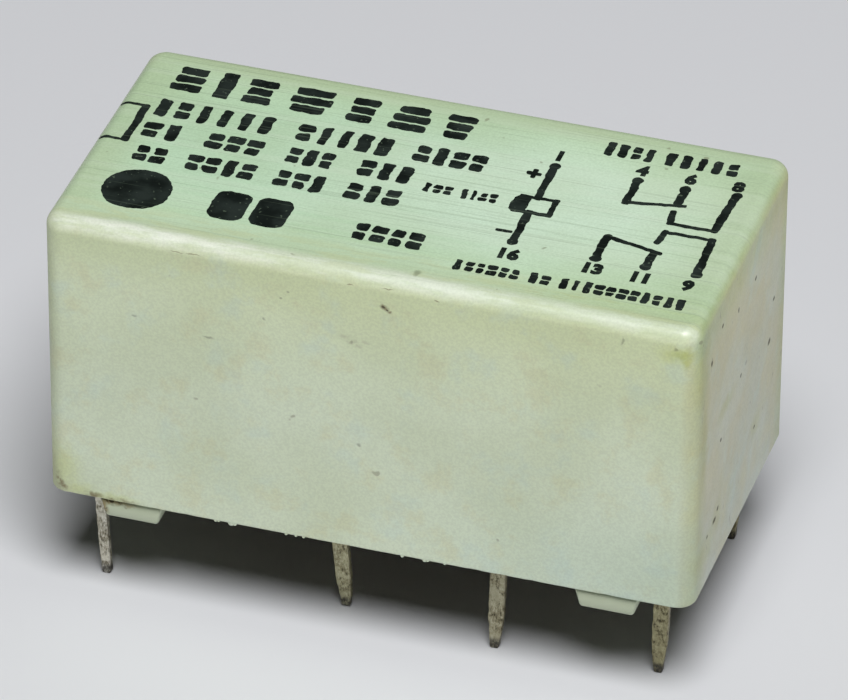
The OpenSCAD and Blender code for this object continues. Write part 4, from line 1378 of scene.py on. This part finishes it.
def spring_bronze():
    r = Recipe("spring_bronze", (0.62, 0.38, 0.20), metallic=0.6)
    rolled = r.noise((0.3, 12, 12))
    r.paint((0.75, 0.50, 0.29), r.ramp(rolled, 0.35, 0.65))
    return r.done(r.ramp(rolled, 0.3, 0.7, 0.22, 0.36), rolled, 0.003)


def cut_leaf(node):
    bm = welded(node)
    soften(bm, LEAF_EDGE, segments=1)
    low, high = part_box(node)
    for k in range(1, LEAF_CUTS):
        cut(bm, "X", low.x + (high.x - low.x) * k / LEAF_CUTS)
    leaf = new_piece(node + "_leaf", bm, bronze, 35)
    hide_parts(node)
    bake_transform(leaf)
    return len(leaf.data.polygons)


bronze = spring_bronze()
print("front leaf:", cut_leaf("moving_spring_front"), "faces")
print("back leaf:", cut_leaf("moving_spring_back"), "faces")

# %% [markdown]
# ## The other inner pieces
# Each gets the finish of what it is made of: pale moulded plastic with flow marks, dark plastic
# for the card, annealed iron with a plated bloom, a sintered magnet, and contacts with a used
# spot. The larger ones are softened copies of their solids. The small contacts and the coil's
# wire ends keep the solids themselves.


# %% Finishes of the inner pieces
def bobbin_plastic():
    r = Recipe("bobbin_plastic", (0.60, 0.57, 0.46))
    r.paint((0.70, 0.67, 0.56), r.ramp(r.noise((0.8, 2.5, 2.5)), 0.3, 0.7))
    return r.done(0.5, r.noise(7, 2), 0.004)


def card_plastic():
    r = Recipe("card_plastic", (0.025, 0.030, 0.040))
    r.paint((0.045, 0.052, 0.066), r.ramp(r.noise((2, 0.7, 2)), 0.3, 0.7))
    return r.done(0.42, r.noise(9, 2), 0.004)


def soft_iron():
    r = Recipe("soft_iron", (0.42, 0.42, 0.43), metallic=0.5)
    bloom = r.noise(0.9, 4)
    brushed = r.noise((1.2, 9, 9), 2)
    r.paint((0.56, 0.55, 0.53), r.ramp(bloom, 0.3, 0.7))
    r.paint((0.30, 0.29, 0.28), r.ramp(brushed, 0.55, 0.7), 0.4)
    return r.done(r.ramp(bloom, 0.3, 0.7, 0.28, 0.44), brushed, 0.004)


def magnet_alloy():
    r = Recipe("magnet_alloy", (0.045, 0.045, 0.05), metallic=0.3)
    grain = r.noise(8)
    r.paint((0.10, 0.10, 0.11), r.ramp(grain, 0.35, 0.65))
    return r.done(r.ramp(grain, 0.3, 0.7, 0.4, 0.6), grain, 0.01)


def contact_silver():
    r = Recipe("contact_silver", (0.80, 0.79, 0.75), metallic=0.7)
    tarnish = r.noise(2.4)
    r.paint((0.52, 0.47, 0.38), r.ramp(tarnish, 0.35, 0.7))
    return r.done(r.ramp(tarnish, 0.3, 0.7, 0.18, 0.38), r.noise(9, 2), 0.003)


FINISHES = {
    "copper_wire": copper, "bobbin_plastic": bobbin_plastic(), "card_plastic": card_plastic(),
    "soft_iron": soft_iron(), "magnet_alloy": magnet_alloy(), "contact_silver": contact_silver(),
}
SOFT_EDGES = {
    "bobbin": 0.06, "armature_cradle": 0.05, "actuator_card": 0.07, "armature": 0.04,
    "core": 0.03, "pole_plate": 0.03, "magnet": 0.05,
}


def finish_solids():
    """Softens the larger solids, dresses the rest and says how many keep their mesh."""
    kept = 0
    for node, slot in slots.items():
        if node in SOFT_EDGES:
            bm = welded(node)
            soften(bm, SOFT_EDGES[node] * MM)
            body = nodes[node].parent.name.split(":")[1]
            stand_for(new_piece(node + "_soft", bm, FINISHES[slot], 30), node, body)
        elif slot in FINISHES and node != "winding":
            dress(nodes[node], FINISHES[slot])
            kept += 1
    return kept


print(finish_solids(), "solids keep their mesh,", len(SOFT_EDGES), "have soft copies")
